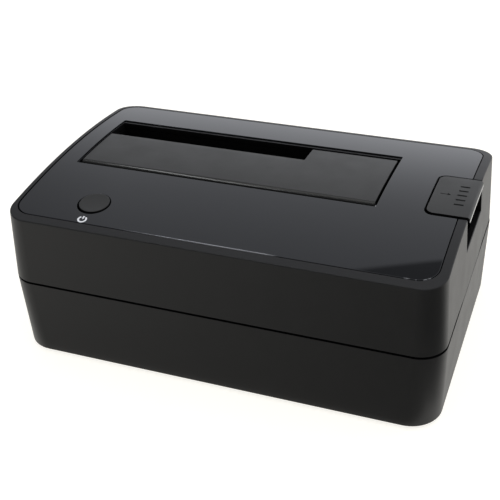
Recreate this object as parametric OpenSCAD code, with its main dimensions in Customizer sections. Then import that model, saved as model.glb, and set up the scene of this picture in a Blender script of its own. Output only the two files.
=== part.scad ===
// Hard drive docking station, desktop, one bay for 3.5 inch and 2.5 inch drives.
// Millimetres. +X runs along the long front face to the right, +Y to the back, +Z up.
// Origin: centre of the footprint, on the surface that the rubber feet stand on.

/* [Case] */
// Width of the case at the seam between its two shells
case_w = 143.4; // [142.6:0.2:148]
// Depth of the case at the seam, front to back
case_d = 91.8; // [90.8:0.2:96]
// Corner radius of the case at the seam
corner_r = 8.8; // [7.6:0.2:10]
// Height of the seam above the table
seam_z = 28; // [27.6:0.1:28.6]
// Height of the crowned top at its highest line
top_z = 54.8; // [54.6:0.1:56]
// Radius of the front-to-back crown of the top
crown_r = 278; // [250:1:400]
// Draft of the upper shell's walls, in degrees
upper_draft = 2.7; // [1.8:0.1:3]
// Wall thickness of both shells
wall = 2.0; // [1.8:0.1:2.2]
// Width of the shadow gap at the seam
seam_gap = 0.8; // [0.5:0.05:0.85]

/* [Top plate] */
// Left edge of the recess that the glossy plate lies in
plate_x0 = -69.0; // [-69.1:0.1:-68]
// Right edge of the recess
plate_x1 = 67.3; // [66.8:0.1:68.2]
// Front edge of the recess
plate_y0 = -41.5; // [-42.4:0.1:-41]
// Back edge of the recess
plate_y1 = 42.9; // [42:0.1:43]
// Corner radius of the recess
plate_r = 6.2; // [5:0.1:7]
// Depth of the recess
plate_t = 0.7; // [0.6:0.05:0.9]

/* [Drive bay] */
// Left edge of the opening in the top plate
bay_x0 = -62.0; // [-62.4:0.1:-61.8]
// Right edge of the opening
bay_x1 = 42.0; // [41.8:0.1:42.4]
// Front edge of the opening
bay_y0 = -9.9; // [-10.2:0.1:-9.7]
// Back edge of the opening
bay_y1 = 26.8; // [26.6:0.1:27.2]
// Height of the drive seat, the top of the bay's floor
seat_z = 16; // [15.8:0.1:16.4]
// Front edge of the slot for 2.5 inch drives
slot_y = 14.6; // [14.2:0.1:15.2]
// Right end of the slot for 2.5 inch drives
slot_x = 11.2; // [10.4:0.1:11.8]

/* [Flap] */
// Depth of the flap's top below the face of the plate
flap_drop = 0.35; // [0.25:0.05:0.5]
// Thickness of the flap
flap_t = 2.2; // [1.8:0.1:2.4]
// Radius of the rolled front edge of the flap, about the hinge pin
flap_roll = 2.4; // [2.3:0.05:2.5]
// Diameter of the steel hinge pin
hinge_pin_d = 2.0; // [1.8:0.1:2.1]

/* [Power button] */
// Button centre, left to right
button_x = -44.3; // [-45:0.1:-43]
// Button centre, front to back
button_y = -31.2; // [-31.8:0.1:-30.4]
// Diameter of the button cap
button_d = 10.0; // [9.4:0.1:10.2]
// Height of the cap above the top plate
button_proud = 0.45; // [0.2:0.05:0.7]

/* [Eject button] */
// Left edge of the eject button
eject_x0 = 57.0; // [56.6:0.1:57.4]
// Front edge of the eject button
eject_y0 = -9.0; // [-9.2:0.1:-8.8]
// Back edge of the eject button
eject_y1 = 16.1; // [15.8:0.1:16.4]
// Height of the eject button above the top plate
eject_proud = 0.3; // [0.1:0.05:0.5]
// Height of the bottom of the notch in the side wall
notch_z = 43.2; // [42.6:0.1:43.4]
// Travel of the eject button
eject_travel = 7; // [6:0.1:7.2]

/* [Hidden] */

foot_h = 1.2;                       // feet stand this far below the lower shell
case_z0 = foot_h;
ku = tan(upper_draft);
upper_z0 = seam_z + seam_gap / 2;
lower_z1 = seam_z - seam_gap / 2;
floor_z = case_z0 + wall;           // inside of the lower shell
low_w = case_w - 0.1;               // lower shell, flush with the upper one
low_d = case_d - 0.1;
low_r = corner_r - 0.05;
deck_x0 = bay_x0;                   // opening in the deck under the plate
deck_x1 = bay_x1 - 0.3;
deck_y0 = bay_y0 + 0.2;
deck_y1 = bay_y1 - 0.8;
deck_t = 2.0;
bay_wall = 1.6;
bay_in_y0 = bay_y0;
flap_x0 = deck_x0 + 0.75;           // a wider gap beside the flap on the left
flap_x1 = deck_x1 - 0.7;
flap_y1 = deck_y1 - 2.0;
hinge_y = deck_y0 + 0.9 + flap_roll;
hinge_z = crown(hinge_y) - flap_drop - flap_roll;
key_cut_x0 = eject_x0 - 0.65;       // cut-out round the eject button, wider in front
key_cut_y0 = eject_y0 - 0.85;
key_cut_y1 = eject_y1 + 0.5;
spring_x0 = -16;
spring_x1 = -4;
boss_x = 61;
boss_y = 36.5;
bay_screw_pts = [[-30, -15.5], [20, -15.5], [-30, 32], [20, 32]];
bay_flange_z = 45;
guide_pts = [[58, -15], [58, 22.4]];
guide_top_z = 48;
post_x = 61.5;
post_ys = [-5.5, 12.5];
shelf_z1 = 41;
shelf_t = 2.5;
sb_z = 40.6;                        // underside of the switch board
sb_t = 1.2;
sb_pts = [[button_x - 9.1, button_y], [button_x + 9.1, button_y]];
pcb_z = 5.4;
pcb_t = 1.6;
pcb_top = pcb_z + pcb_t;
pcb_x0 = -56.5; pcb_x1 = -2; pcb_y0 = -24; pcb_y1 = 42.6;
pcb_pts = [[-53, -20.5], [-5.5, -20.5], [-53, 30.5], [-5.5, 30.5]];
foot_pts = [[-46, -35], [46, -35], [-46, 35], [46, 35]];
lever_x = 32; lever_z = 10.4; lever_arm = 30;
lever_rest = asin(eject_travel / 2 / lever_arm);
lever_y0 = 3; lever_y1 = 24.5;
sata_x = -30.7; sata_y = 22.3;
usb_x = -16; dc_x = -40;
header_x = -40; header_y0 = -17; header_y1 = -27;

function crown(y) = top_z - (crown_r - sqrt(crown_r * crown_r - y * y));
function smooth(t) = t * t * (3 - 2 * t);

// ---- shared shapes ----

// A solid under the crowned top, off millimetres below it.
module under_crown(off) {
  translate([0, 0, top_z - crown_r]) rotate([0, 90, 0])
    cylinder(h = 220, r = crown_r - off, center = true, $fn = 720);
}

// A rounded box with drafted walls: w by d at its base, and k narrower a side for each millimetre up.
// The corners stand out by full, so that they cross the walls and don't only touch them.
module drafted(w, d, r, h, k, full = 0) {
  translate([0, d / 2 - r, 0]) rotate([90, 0, 0]) linear_extrude(d - 2 * r)
    polygon([[-w / 2, 0], [w / 2, 0], [w / 2 - k * h, h], [k * h - w / 2, h]]);
  translate([r - w / 2, 0, 0]) rotate([90, 0, 90]) linear_extrude(w - 2 * r)
    polygon([[-d / 2, 0], [d / 2, 0], [d / 2 - k * h, h], [k * h - d / 2, h]]);
  for (sx = [-1, 1], sy = [-1, 1])
    translate([sx * (w / 2 - r), sy * (d / 2 - r), 0]) cylinder(h = h, r1 = r + full, r2 = r + full - k * h, $fn = 96);
}

// A box with rounded upright edges, from corner to corner.
module rbox(x0, y0, x1, y1, z0, z1, r) {
  translate([x0 + r, y0, z0]) cube([x1 - x0 - 2 * r, y1 - y0, z1 - z0]);
  translate([x0, y0 + r, z0]) cube([x1 - x0, y1 - y0 - 2 * r, z1 - z0]);
  for (x = [x0 + r, x1 - r], y = [y0 + r, y1 - r]) translate([x, y, z0]) cylinder(h = z1 - z0, r = r, $fn = 64);
}

module box(x0, y0, z0, x1, y1, z1) { translate([x0, y0, z0]) cube([x1 - x0, y1 - y0, z1 - z0]); }

module rod(x, y, z0, z1, d) { translate([x, y, z0]) cylinder(h = z1 - z0, d = d, $fn = 48); }

module rod_x(x0, x1, y, z, d) { translate([x0, y, z]) rotate([0, 90, 0]) cylinder(h = x1 - x0, d = d, $fn = 48); }

module rod_y(x, y0, y1, z, d) { translate([x, y1, z]) rotate([90, 0, 0]) cylinder(h = y1 - y0, d = d, $fn = 48); }

// A pan-head screw that points up, with a cross recess; seat is the underside of its head.
module screw(x, y, seat, len, shank_d, head_d, head_h) {
  difference() {
    union() {
      rod(x, y, seat - head_h, seat, head_d);
      rod(x, y, seat - 0.01, seat + len, shank_d);
    }
    for (a = [0, 90]) translate([x, y, seat - head_h]) rotate([0, 0, a])
      translate([-head_d * 0.3, -head_d * 0.07, -1]) cube([head_d * 0.6, head_d * 0.14, 1 + head_h * 0.55]);
  }
}

// A wire swept along points, with sides corners.
function frame_up(t) = abs(t[0]) > 0.9 ? [0, 1, 0] : [1, 0, 0];
function unit(v) = v / norm(v);
module wire(pts, d, sides = 8) {
  n = len(pts);
  tangents = [for (i = [0:n - 1]) unit(pts[min(i + 1, n - 1)] - pts[max(i - 1, 0)])];
  rings = [for (i = [0:n - 1]) let (t = tangents[i], u = unit(cross(t, cross([1, 0.02, 0.01], t))), v = cross(t, u))
    for (j = [0:sides - 1]) pts[i] + d / 2 * (cos(360 * j / sides) * u + sin(360 * j / sides) * v)];
  polyhedron(points = rings, faces = concat(
    [[for (j = [0:sides - 1]) j]],
    [[for (j = [sides - 1:-1:0]) (n - 1) * sides + j]],
    [for (i = [0:n - 2], j = [0:sides - 1]) let (a = i * sides + j, b = i * sides + (j + 1) % sides, c = a + sides, e = b + sides)
      for (f = [[b, a, c], [b, c, e]]) f]), convexity = 6);
}

// ---- outer shells ----

module lower_case() color([0.10, 0.10, 0.105]) difference() {
  union() {
    difference() {
      rbox(-low_w / 2, -low_d / 2, low_w / 2, low_d / 2, case_z0, lower_z1, low_r);
      rbox(wall - low_w / 2, wall - low_d / 2, low_w / 2 - wall, low_d / 2 - wall, floor_z, lower_z1 + 1, low_r - wall);
    }
    // tongue that registers the upper shell
    difference() {
      rbox(-(case_w / 2 - 1.2), -(case_d / 2 - 1.2), case_w / 2 - 1.2, case_d / 2 - 1.2, lower_z1 - 3, seam_z + 1.9, corner_r - 1.2);
      rbox(-(case_w / 2 - 2.2), -(case_d / 2 - 2.2), case_w / 2 - 2.2, case_d / 2 - 2.2, lower_z1 - 4, seam_z + 3, corner_r - 2.2);
    }
    for (sx = [-1, 1], sy = [-1, 1]) rod(sx * boss_x, sy * boss_y, floor_z - 0.5, seam_z, 8);
    for (p = pcb_pts) rod(p[0], p[1], floor_z - 0.5, pcb_z, 6);
  }
  for (sx = [-1, 1], sy = [-1, 1]) {
    rod(sx * boss_x, sy * boss_y, 0, 16, 6.2);
    rod(sx * boss_x, sy * boss_y, 10, seam_z + 2, 3.4);
  }
  for (p = pcb_pts) rod(p[0], p[1], case_z0 + 1.0, pcb_z + 1, 2.1);
  for (p = foot_pts) rod(p[0], p[1], 0, 2.0, 10.4);
  // openings for the sockets at the back
  box(usb_x - 6.5, 38, pcb_top - 0.3, usb_x + 6.5, 50, pcb_top + 12.0);
  box(dc_x - 4.9, 38, pcb_top - 0.3, dc_x + 4.9, 50, pcb_top + 11.4);
  // cooling slots in the floor
  for (i = [0:6]) rbox(7 + 6 * i, -26, 9.2 + 6 * i, -6, 0, floor_z + 1, 1.05);
}

module upper_case() color([0.10, 0.10, 0.105]) difference() {
  union() {
    difference() {
      intersection() {
        translate([0, 0, upper_z0]) drafted(case_w - 0.02, case_d - 0.02, corner_r - 0.01, 30, ku, 0.01);
        under_crown(0);
      }
      intersection() {
        translate([0, 0, upper_z0 - 1]) drafted(case_w - 2 * wall + 2 * ku, case_d - 2 * wall + 2 * ku, corner_r - wall + ku, 30, ku, 0.01);
        under_crown(plate_t + deck_t);
      }
    }
    // bosses for the case screws, the bay, the eject guide, the switch board and the flap's pin
    intersection() {
      under_crown(plate_t + 0.4);
      union() {
        for (sx = [-1, 1], sy = [-1, 1]) rod(sx * boss_x, sy * boss_y, seam_z, 53, 7);
        for (p = bay_screw_pts) rod(p[0], p[1], bay_flange_z, 53.5, 6);
        for (p = guide_pts) rod(p[0], p[1], guide_top_z, 53.5, 6);
        for (p = sb_pts) rod(p[0], p[1], sb_z + sb_t, 52.5, 5);
        box(deck_x0 - 4.2, hinge_y - 3, hinge_z - 3, deck_x0 - 0.1, hinge_y + 3, 54);
        box(deck_x1 + 0.1, hinge_y - 3, hinge_z - 3, deck_x1 + 4.2, hinge_y + 3, 54);
      }
    }
  }
  // recess for the plate
  difference() {
    rbox(plate_x0, plate_y0, plate_x1, plate_y1, 48, 60, plate_r);
    under_crown(plate_t);
  }
  // rebate for the lower shell's tongue
  rbox(-(case_w / 2 - 1.0), -(case_d / 2 - 1.0), case_w / 2 - 1.0, case_d / 2 - 1.0, seam_z - 2, seam_z + 2.1, corner_r - 1.0);
  // drive opening in the deck
  box(deck_x0, deck_y0, 44, deck_x1, deck_y1, 60);
  // hinge pin
  rod_x(deck_x0 - 5, deck_x1 + 5, hinge_y, hinge_z, hinge_pin_d + 0.06);
  // power button
  rod(button_x, button_y, 44, 60, button_d + 0.9);
  // eject button and its notch in the side wall
  rbox(key_cut_x0, key_cut_y0, 90, key_cut_y1, notch_z, 60, 3);
  // pilot holes
  for (sx = [-1, 1], sy = [-1, 1]) rod(sx * boss_x, sy * boss_y, seam_z - 1, 42, 2.5);
  for (p = bay_screw_pts) rod(p[0], p[1], bay_flange_z - 1, 50, 2.1);
  for (p = guide_pts) rod(p[0], p[1], guide_top_z - 1, 51, 2.1);
  for (p = sb_pts) rod(p[0], p[1], sb_z, 47.5, 1.7);
}

module top_plate() color([0.075, 0.08, 0.09]) difference() {
  intersection() {
    rbox(plate_x0 + 0.55, plate_y0 + 0.25, plate_x1 - 0.3, plate_y1 - 0.2, 45, 58, plate_r - 0.25);
    under_crown(0);
  }
  under_crown(plate_t - 0.05);
  rbox(bay_x0, bay_y0, bay_x1, bay_y1, 40, 60, 0.5);
  rod(button_x, button_y, 40, 60, button_d + 0.8);
  rbox(key_cut_x0, key_cut_y0, 90, key_cut_y1, 40, 60, 3);
}

// ---- flap over the bay ----

module drive_flap() color([0.13, 0.13, 0.13]) difference() {
  union() {
    difference() {
      intersection() {
        union() {
          box(flap_x0, hinge_y, 40, slot_x, slot_y, 60);
          box(slot_x - 0.01, hinge_y, 40, flap_x1, flap_y1, 60);
        }
        under_crown(flap_drop);
      }
      under_crown(flap_drop + flap_t);
    }
    rod_x(flap_x0, flap_x1, hinge_y, hinge_z, 2 * flap_roll);
    // stiffening ribs under the flap
    for (x = [flap_x0 + 3, -36, 6.5, 14, flap_x1 - 4.6]) intersection() {
      box(x, hinge_y, hinge_z - 1.6, x + 1.6, x > slot_x ? flap_y1 - 3 : slot_y - 2, 60);
      under_crown(flap_drop + flap_t - 0.2);
    }
    // lip that meets the underside of the deck and stops the flap flush
    intersection() {
      box(22, flap_y1 - 4, 40, 32, deck_y1 + 0.8, 60);
      difference() { under_crown(plate_t + deck_t + 0.1); under_crown(plate_t + deck_t + 1.3); }
    }
    intersection() {
      box(22, flap_y1 - 4, 40, 32, flap_y1 - 0.5, 60);
      difference() { under_crown(flap_drop + flap_t - 0.2); under_crown(plate_t + deck_t + 1.3); }
    }
  }
  rod_x(flap_x0 - 1, flap_x1 + 1, hinge_y, hinge_z, hinge_pin_d + 0.1);
  // room for the spring
  rod_x(spring_x0, spring_x1, hinge_y, hinge_z, 3.8);
  box(spring_x0, hinge_y - 3, hinge_z - 6, spring_x1, hinge_y + 3, hinge_z);
}

module flap_hinge_pin() color([0.75, 0.75, 0.77]) rod_x(deck_x0 - 4, deck_x1 + 4, hinge_y, hinge_z, hinge_pin_d);

module flap_spring() color([0.62, 0.62, 0.64]) {
  turns = 6; per = 12; rc = 1.45;
  coil = [for (i = [0:turns * per]) let (a = 180 + 360 * i / per + 90 * i / (turns * per))
    [spring_x0 + 1 + (spring_x1 - spring_x0 - 2) * i / (turns * per), hinge_y + rc * cos(a), hinge_z + rc * sin(a)]];
  wire(concat([[spring_x0 + 1, hinge_y - rc - 1.0, hinge_z - 11], [spring_x0 + 1, hinge_y - rc - 0.1, hinge_z - 2]], coil,
    [[spring_x1 - 1, hinge_y + 2.2, hinge_z - rc + 0.1], [spring_x1 - 1, hinge_y + 11, hinge_z - 0.6]]), 0.5);
}

// ---- drive bay ----

module drive_bay() color([0.07, 0.07, 0.075]) difference() {
  union() {
    difference() {
      intersection() {
        box(deck_x0 - bay_wall, bay_in_y0 - bay_wall, seat_z - bay_wall, deck_x1 + bay_wall, deck_y1 + bay_wall, 60);
        under_crown(plate_t + deck_t + 0.15);
      }
      box(deck_x0, bay_in_y0, seat_z, deck_x1, deck_y1, 70);
    }
    for (p = bay_screw_pts) {
      y0 = p[1] < 0 ? p[1] - 4 : deck_y1 + 0.5;
      y1 = p[1] < 0 ? bay_in_y0 - 0.5 : p[1] + 4;
      rbox(p[0] - 5, y0, p[0] + 5, y1, bay_flange_z - 1.8, bay_flange_z, 1.2);
    }
    // ears for the eject lever's pin
    for (y = [[0.4, 2.6], [24.9, 27.1]]) difference() {
      union() {
        box(lever_x - 4, y[0], lever_z, lever_x + 4, y[1], seat_z - bay_wall + 0.1);
        rod_y(lever_x, y[0], y[1], lever_z, 8);
      }
      rod_y(lever_x, y[0] - 1, y[1] + 1, lever_z, 3.06);
    }
  }
  // room for the hinge pin's bosses
  for (x = [deck_x0 - 3, deck_x1 - 1]) box(x, bay_in_y0 - 3, hinge_z - 3.4, x + 4, hinge_y + 3.4, 60);
  // notch for the flap's stop lip
  box(21, deck_y1 - 1, 40, 33, deck_y1 + 1.1, 60);
  // window for the drive connector
  box(sata_x - 23.2, sata_y - 4.1, 10, sata_x + 23.2, deck_y1, seat_z + 0.01);
  // window for the lever's lifting pad
  box(-3.5, 17.9, 10, 20, 25.1, seat_z + 0.01);
  for (p = bay_screw_pts) rod(p[0], p[1], 40, 50, 2.8);
}

// ---- eject mechanism ----

module eject_button() color([0.13, 0.13, 0.13]) union() {
  difference() {
    intersection() {
      // its outer edge stands 0.25 mm proud of the side wall
      translate([0, 0, upper_z0]) drafted(case_w + 0.5, case_d, corner_r, 30, ku);
      under_crown(-eject_proud);
      rbox(eject_x0, eject_y0, 90, eject_y1, 40, 60, 2.5);
    }
    under_crown(1.6);
    // pressed arrow and grip bars in the top
    difference() {
      union() {
        box(59.2, 3.35, 50, 61.4, 3.65, 60);
        translate([61.4, 3.5, 50]) linear_extrude(10) polygon([[0, -0.75], [1.1, 0], [0, 0.75]]);
        for (i = [0:4]) box(64.4, -2.6 + 3 * i, 50, 67.4, -1.8 + 3 * i, 60);
      }
      under_crown(0.25 - eject_proud);
    }
  }
  intersection() {
    under_crown(1.5);
    union() {
      for (y = post_ys) rod(post_x, y, 39, 60, 4);
      box(post_x - 1, 4.2, lever_z + lever_arm * sin(lever_rest) + 2.5, post_x + 1, 7.8, 60);
      // skirt that closes the view behind the notch
      box(65, eject_y0 + 0.6, 42.4, 66.2, eject_y1 - 0.6, 60);
    }
  }
  for (y = post_ys) { rod(post_x, y, 38.2, 39.01, 4); rod(post_x, y, 37.3, 38.21, 3); rod(post_x, y, 35.8, 37.31, 4); }
}

module eject_post_clips() color([0.6, 0.6, 0.62]) for (y = post_ys) difference() {
  rod(post_x, y, 37.4, 38.1, 7);
  rod(post_x, y, 37, 39, 3.1);
  translate([post_x, y - 1.4, 37]) cube([5, 2.8, 2]);
}

module eject_springs() color([0.62, 0.62, 0.64]) for (y = post_ys) {
  turns = 5; per = 12; rc = 2.75; z0 = shelf_z1 + 0.4; z1 = crown(12.5) - 1.6 - 0.45;
  wire([for (i = [0:turns * per]) let (t = i / (turns * per), a = 360 * i / per)
    [post_x + rc * cos(a), y + rc * sin(a), z0 + (z1 - z0) * t]], 0.7);
}

module eject_guide() color([0.07, 0.07, 0.075]) difference() {
  union() {
    box(50.4, -12, shelf_z1 - shelf_t, 64.6, 19, shelf_z1);
    box(50.4, -12, shelf_z1 - shelf_t, 67, -10.4, guide_top_z);
    box(50.4, 17.4, shelf_z1 - shelf_t, 67, 19, guide_top_z);
    box(50.4, -12, shelf_z1 - shelf_t, 52, 19, guide_top_z);
    for (p = guide_pts) rbox(p[0] - 4, p[1] < 0 ? p[1] - 4 : 18.5, p[0] + 4, p[1] < 0 ? -11.5 : p[1] + 4, guide_top_z - 1.8, guide_top_z, 1.2);
  }
  for (y = post_ys) rod(post_x, y, 30, 45, 4.14);
  box(post_x - 1.6, 3.6, 30, post_x + 1.6, 8.4, 45);
  for (p = guide_pts) rod(p[0], p[1], 40, 50, 2.8);
}

module eject_lever() color([0.16, 0.16, 0.165]) translate([lever_x, 0, lever_z]) rotate([0, -lever_rest, 0]) {
  pad_h = (seat_z - 0.3 - lever_z + lever_arm * sin(lever_rest)) / cos(lever_rest);
  difference() {
    union() {
      rod_y(0, lever_y0, lever_y1, 0, 6.4);
      box(-lever_arm, 18.5, -2, 0, lever_y1, 2);
      box(0, lever_y0, -2, lever_arm + 2.5, 9, 2);
      rod_y(-lever_arm, 18.5, lever_y1, 0, 4);
      // lifting pad
      box(-lever_arm - 2, 18.5, 0, -lever_arm + 2, lever_y1, pad_h - 2);
      rod_y(-lever_arm, 18.5, lever_y1, pad_h - 2, 4);
      // web along the lifting arm
      translate([0, 20.6, 0]) rotate([90, 0, 0]) translate([0, 0, -1.8]) linear_extrude(1.8)
        polygon([[-lever_arm, 0], [-2, 0], [-2, -3], [-lever_arm * 0.4, -3]]);
    }
    rod_y(0, lever_y0 - 1, lever_y1 + 1, 0, 3.1);
  }
}

module eject_lever_pin() color([0.75, 0.75, 0.77]) rod_y(lever_x, 0.2, 27.3, lever_z, 3.0);

// ---- power button and its switch ----

module power_button() color([0.13, 0.13, 0.13]) union() {
  intersection() {
    rod(button_x, button_y, 48, 60, button_d);
    under_crown(-button_proud);
  }
  rod(button_x, button_y, 47.6, 48.8, button_d + 2.2);
  rod(button_x, button_y, sb_z + sb_t + 5.3, 47.7, 4.4);
}

module switch_plunger() color([0.2, 0.2, 0.2]) rod(button_x, button_y, sb_z + sb_t + 2.5, sb_z + sb_t + 5.3, 3.4);

module power_switch() color([0.08, 0.08, 0.08]) difference() {
  union() {
    box(button_x - 3, button_y - 3, sb_z + sb_t, button_x + 3, button_y + 3, sb_z + sb_t + 3.5);
    for (sx = [-1, 1], sy = [-1, 1]) box(button_x + sx * 3.6 - 0.6, button_y + sy * 2.25 - 0.35, sb_z + sb_t, button_x + sx * 3.6 + 0.6, button_y + sy * 2.25 + 0.35, sb_z + sb_t + 0.6);
  }
  rod(button_x, button_y, sb_z + sb_t + 1, sb_z + sb_t + 5, 3.6);
}

module switch_board() color([0.05, 0.25, 0.12]) difference() {
  rbox(button_x - 11, button_y - 6.6, button_x + 11, button_y + 8, sb_z, sb_z + sb_t, 1);
  for (p = sb_pts) rod(p[0], p[1], sb_z - 1, sb_z + sb_t + 1, 2.3);
}

module status_led() color([0.85, 0.9, 0.95]) union() {
  box(button_x + 4.9, button_y + 4.2, sb_z + sb_t, button_x + 8.1, button_y + 6.2, sb_z + sb_t + 0.8);
  box(button_x + 5.4, button_y + 4.2, sb_z + sb_t + 0.79, button_x + 7.6, button_y + 6.2, sb_z + sb_t + 1.5);
}

module header(x, y, z0, z1) difference() {
  box(x - 4, y - 2.3, z0, x + 4, y + 2.3, z1);
  box(x - 3.2, y - 1.5, z0 + 0.8, x + 3.2, y + 1.5, z1 + 1);
}

module switch_header() color([0.9, 0.88, 0.8]) translate([0, 0, 2 * sb_z]) mirror([0, 0, 1]) header(header_x, header_y1, sb_z, sb_z + 4);

module board_header() color([0.9, 0.88, 0.8]) header(header_x, header_y0, pcb_top, pcb_top + 4);

module switch_cable_plugs() color([0.92, 0.9, 0.84]) {
  box(header_x - 3, header_y0 - 1.3, pcb_top + 1.5, header_x + 3, header_y0 + 1.3, pcb_top + 7);
  box(header_x - 3, header_y1 - 1.3, sb_z - 7, header_x + 3, header_y1 + 1.3, sb_z - 1.5);
}

// Flat four-wire cable between the two boards.
module switch_cable() color([0.12, 0.12, 0.12]) {
  z0 = pcb_top + 7; z1 = sb_z - 7; n = 24; half = 0.6;
  mid = [for (i = [0:n]) let (t = i / n) [header_y0 + (header_y1 - header_y0) * smooth(t), z0 + (z1 - z0) * t]];
  dir = [for (i = [0:n]) unit(i == 0 || i == n ? [0, 1] : mid[i + 1] - mid[i - 1])];
  translate([header_x - 2.5, 0, 0]) rotate([90, 0, 90]) linear_extrude(5) polygon(concat(
    [for (i = [0:n]) mid[i] + half * [dir[i][1], -dir[i][0]]],
    [for (i = [n:-1:0]) mid[i] - half * [dir[i][1], -dir[i][0]]]));
}

// ---- main board and what stands on it ----

module main_board() color([0.05, 0.25, 0.12]) difference() {
  rbox(pcb_x0, pcb_y0, pcb_x1, pcb_y1, pcb_z, pcb_top, 1.5);
  for (p = pcb_pts) rod(p[0], p[1], pcb_z - 1, pcb_top + 1, 2.8);
}

// Socket for the drive's data and power tongues; the two slots are keyed at one end.
module sata_socket() color([0.03, 0.03, 0.035]) difference() {
  union() {
    box(sata_x - 22.4, sata_y - 3.4, pcb_top, sata_x + 22.4, sata_y + 3.2, seat_z + 1.2);
    box(sata_x - 19.6, sata_y - 2.6, pcb_top, sata_x + 18.6, sata_y + 2.4, seat_z + 5);
    for (sx = [-1, 1]) rod(sata_x + sx * 21, sata_y - 0.1, seat_z, seat_z + 4.2, 1.8);
  }
  box(sata_x - 17.9, sata_y - 1.2, seat_z - 1.6, sata_x + 3.3, sata_y + 1.2, seat_z + 6);
  box(sata_x - 17.9, sata_y - 1.2, seat_z - 1.6, sata_x - 16.4, sata_y + 1.9, seat_z + 6);
  box(sata_x + 5.9, sata_y - 1.2, seat_z - 1.6, sata_x + 16.9, sata_y + 1.2, seat_z + 6);
  box(sata_x + 15.4, sata_y - 1.2, seat_z - 1.6, sata_x + 16.9, sata_y + 1.9, seat_z + 6);
}

module sata_contacts() color([0.85, 0.68, 0.3]) {
  for (i = [0:14]) box(sata_x - 15.2 + 1.27 * i, sata_y - 1.15, seat_z - 1.5, sata_x - 14.6 + 1.27 * i, sata_y - 0.55, seat_z + 4.2);
  for (i = [0:6]) box(sata_x + 7.0 + 1.27 * i, sata_y - 1.15, seat_z - 1.5, sata_x + 7.6 + 1.27 * i, sata_y - 0.55, seat_z + 4.2);
}

// Square USB device socket with its stacked upper part.
usb_y1 = 45.0; usb_y0 = 28.6;
module usb_shell() color([0.72, 0.72, 0.74]) difference() {
  union() {
    box(usb_x - 6.0, usb_y0, pcb_top, usb_x + 6.0, usb_y1, pcb_top + 7.9);
    box(usb_x - 4.4, usb_y0, pcb_top + 7.8, usb_x + 4.4, usb_y1, pcb_top + 11.2);
  }
  box(usb_x - 5.5, usb_y0 + 6, pcb_top + 0.5, usb_x + 5.5, usb_y1 + 1, pcb_top + 7.4);
  box(usb_x - 3.9, usb_y0 + 6, pcb_top + 7, usb_x + 3.9, usb_y1 + 1, pcb_top + 10.7);
}

module usb_tongue() color([0.05, 0.18, 0.62]) union() {
  box(usb_x - 5.4, usb_y0 + 6, pcb_top + 0.6, usb_x + 5.4, usb_y0 + 8, pcb_top + 7.3);
  box(usb_x - 2.9, usb_y0 + 7.9, pcb_top + 2.4, usb_x + 2.9, usb_y1 - 1.0, pcb_top + 5.4);
  box(usb_x - 3.8, usb_y0 + 6, pcb_top + 7.2, usb_x + 3.8, usb_y0 + 8, pcb_top + 10.6);
  box(usb_x - 3.0, usb_y0 + 7.9, pcb_top + 8.0, usb_x + 3.0, usb_y1 - 1.0, pcb_top + 9.2);
}

module usb_contacts() color([0.85, 0.68, 0.3]) {
  for (x = [-1.6, 0.6], z = [2.1, 5.4]) box(usb_x + x, usb_y0 + 8.2, pcb_top + z, usb_x + x + 1.0, usb_y1 - 1.6, pcb_top + z + 0.3);
  for (i = [-2:2]) box(usb_x - 0.25 + i * 1.05, usb_y0 + 8.2, pcb_top + 9.2, usb_x + 0.25 + i * 1.05, usb_y1 - 1.6, pcb_top + 9.45);
}

dc_z = pcb_top + 6.2;
module dc_jack() color([0.04, 0.04, 0.045]) difference() {
  box(dc_x - 4.5, 31, pcb_top, dc_x + 4.5, 45.0, pcb_top + 11);
  rod_y(dc_x, 35.6, 46, dc_z, 6.2);
}

module dc_jack_pin() color([0.78, 0.76, 0.7]) union() {
  rod_y(dc_x, 35.6, 43.4, dc_z, 2.0);
  translate([dc_x, 43.4, dc_z]) sphere(d = 2.0, $fn = 48);
}

module bridge_chip() color([0.06, 0.06, 0.065]) box(-34.5, 0.5, pcb_top, -25.5, 9.5, pcb_top + 1.0);
module memory_chip() color([0.06, 0.06, 0.065]) box(-45, 3, pcb_top, -40, 9, pcb_top + 1.6);
module crystal() color([0.74, 0.74, 0.76]) rbox(-20, 3, -16, 8, pcb_top, pcb_top + 3.2, 1.6);
module power_inductors() color([0.18, 0.18, 0.185]) for (x = [-50, -18]) rbox(x - 3.2, -8.2, x + 3.2, -1.8, pcb_top, pcb_top + 3.2, 0.8);
module capacitors() color([0.15, 0.17, 0.22]) for (x = [-28, -19.5, -11.5]) rod(x, -18.5, pcb_top, pcb_top + 7.7, 6.3);

// ---- fasteners and feet ----

module case_screws() color([0.2, 0.2, 0.21]) for (sx = [-1, 1], sy = [-1, 1]) screw(sx * boss_x, sy * boss_y, 16, 22, 2.4, 5.6, 2.0);
module board_screws() color([0.6, 0.6, 0.62]) for (p = pcb_pts) translate([0, 0, 2 * pcb_top]) mirror([0, 0, 1]) screw(p[0], p[1], pcb_top, 4.2, 2.0, 4.2, 1.5);
module bay_screws() color([0.6, 0.6, 0.62]) for (p = bay_screw_pts) screw(p[0], p[1], bay_flange_z - 1.8, 6, 2.0, 4.4, 1.6);
module guide_screws() color([0.6, 0.6, 0.62]) for (p = guide_pts) screw(p[0], p[1], guide_top_z - 1.8, 4.5, 2.0, 4.4, 1.6);
module switch_board_screws() color([0.6, 0.6, 0.62]) for (p = sb_pts) screw(p[0], p[1], sb_z, 6, 1.6, 3.6, 1.3);

module rubber_feet() color([0.05, 0.05, 0.05]) for (p = foot_pts) union() {
  rod(p[0], p[1], 0.6, 2.0, 10);
  translate([p[0], p[1], 0]) cylinder(h = 0.61, d1 = 9.0, d2 = 10, $fn = 64);
}

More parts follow.
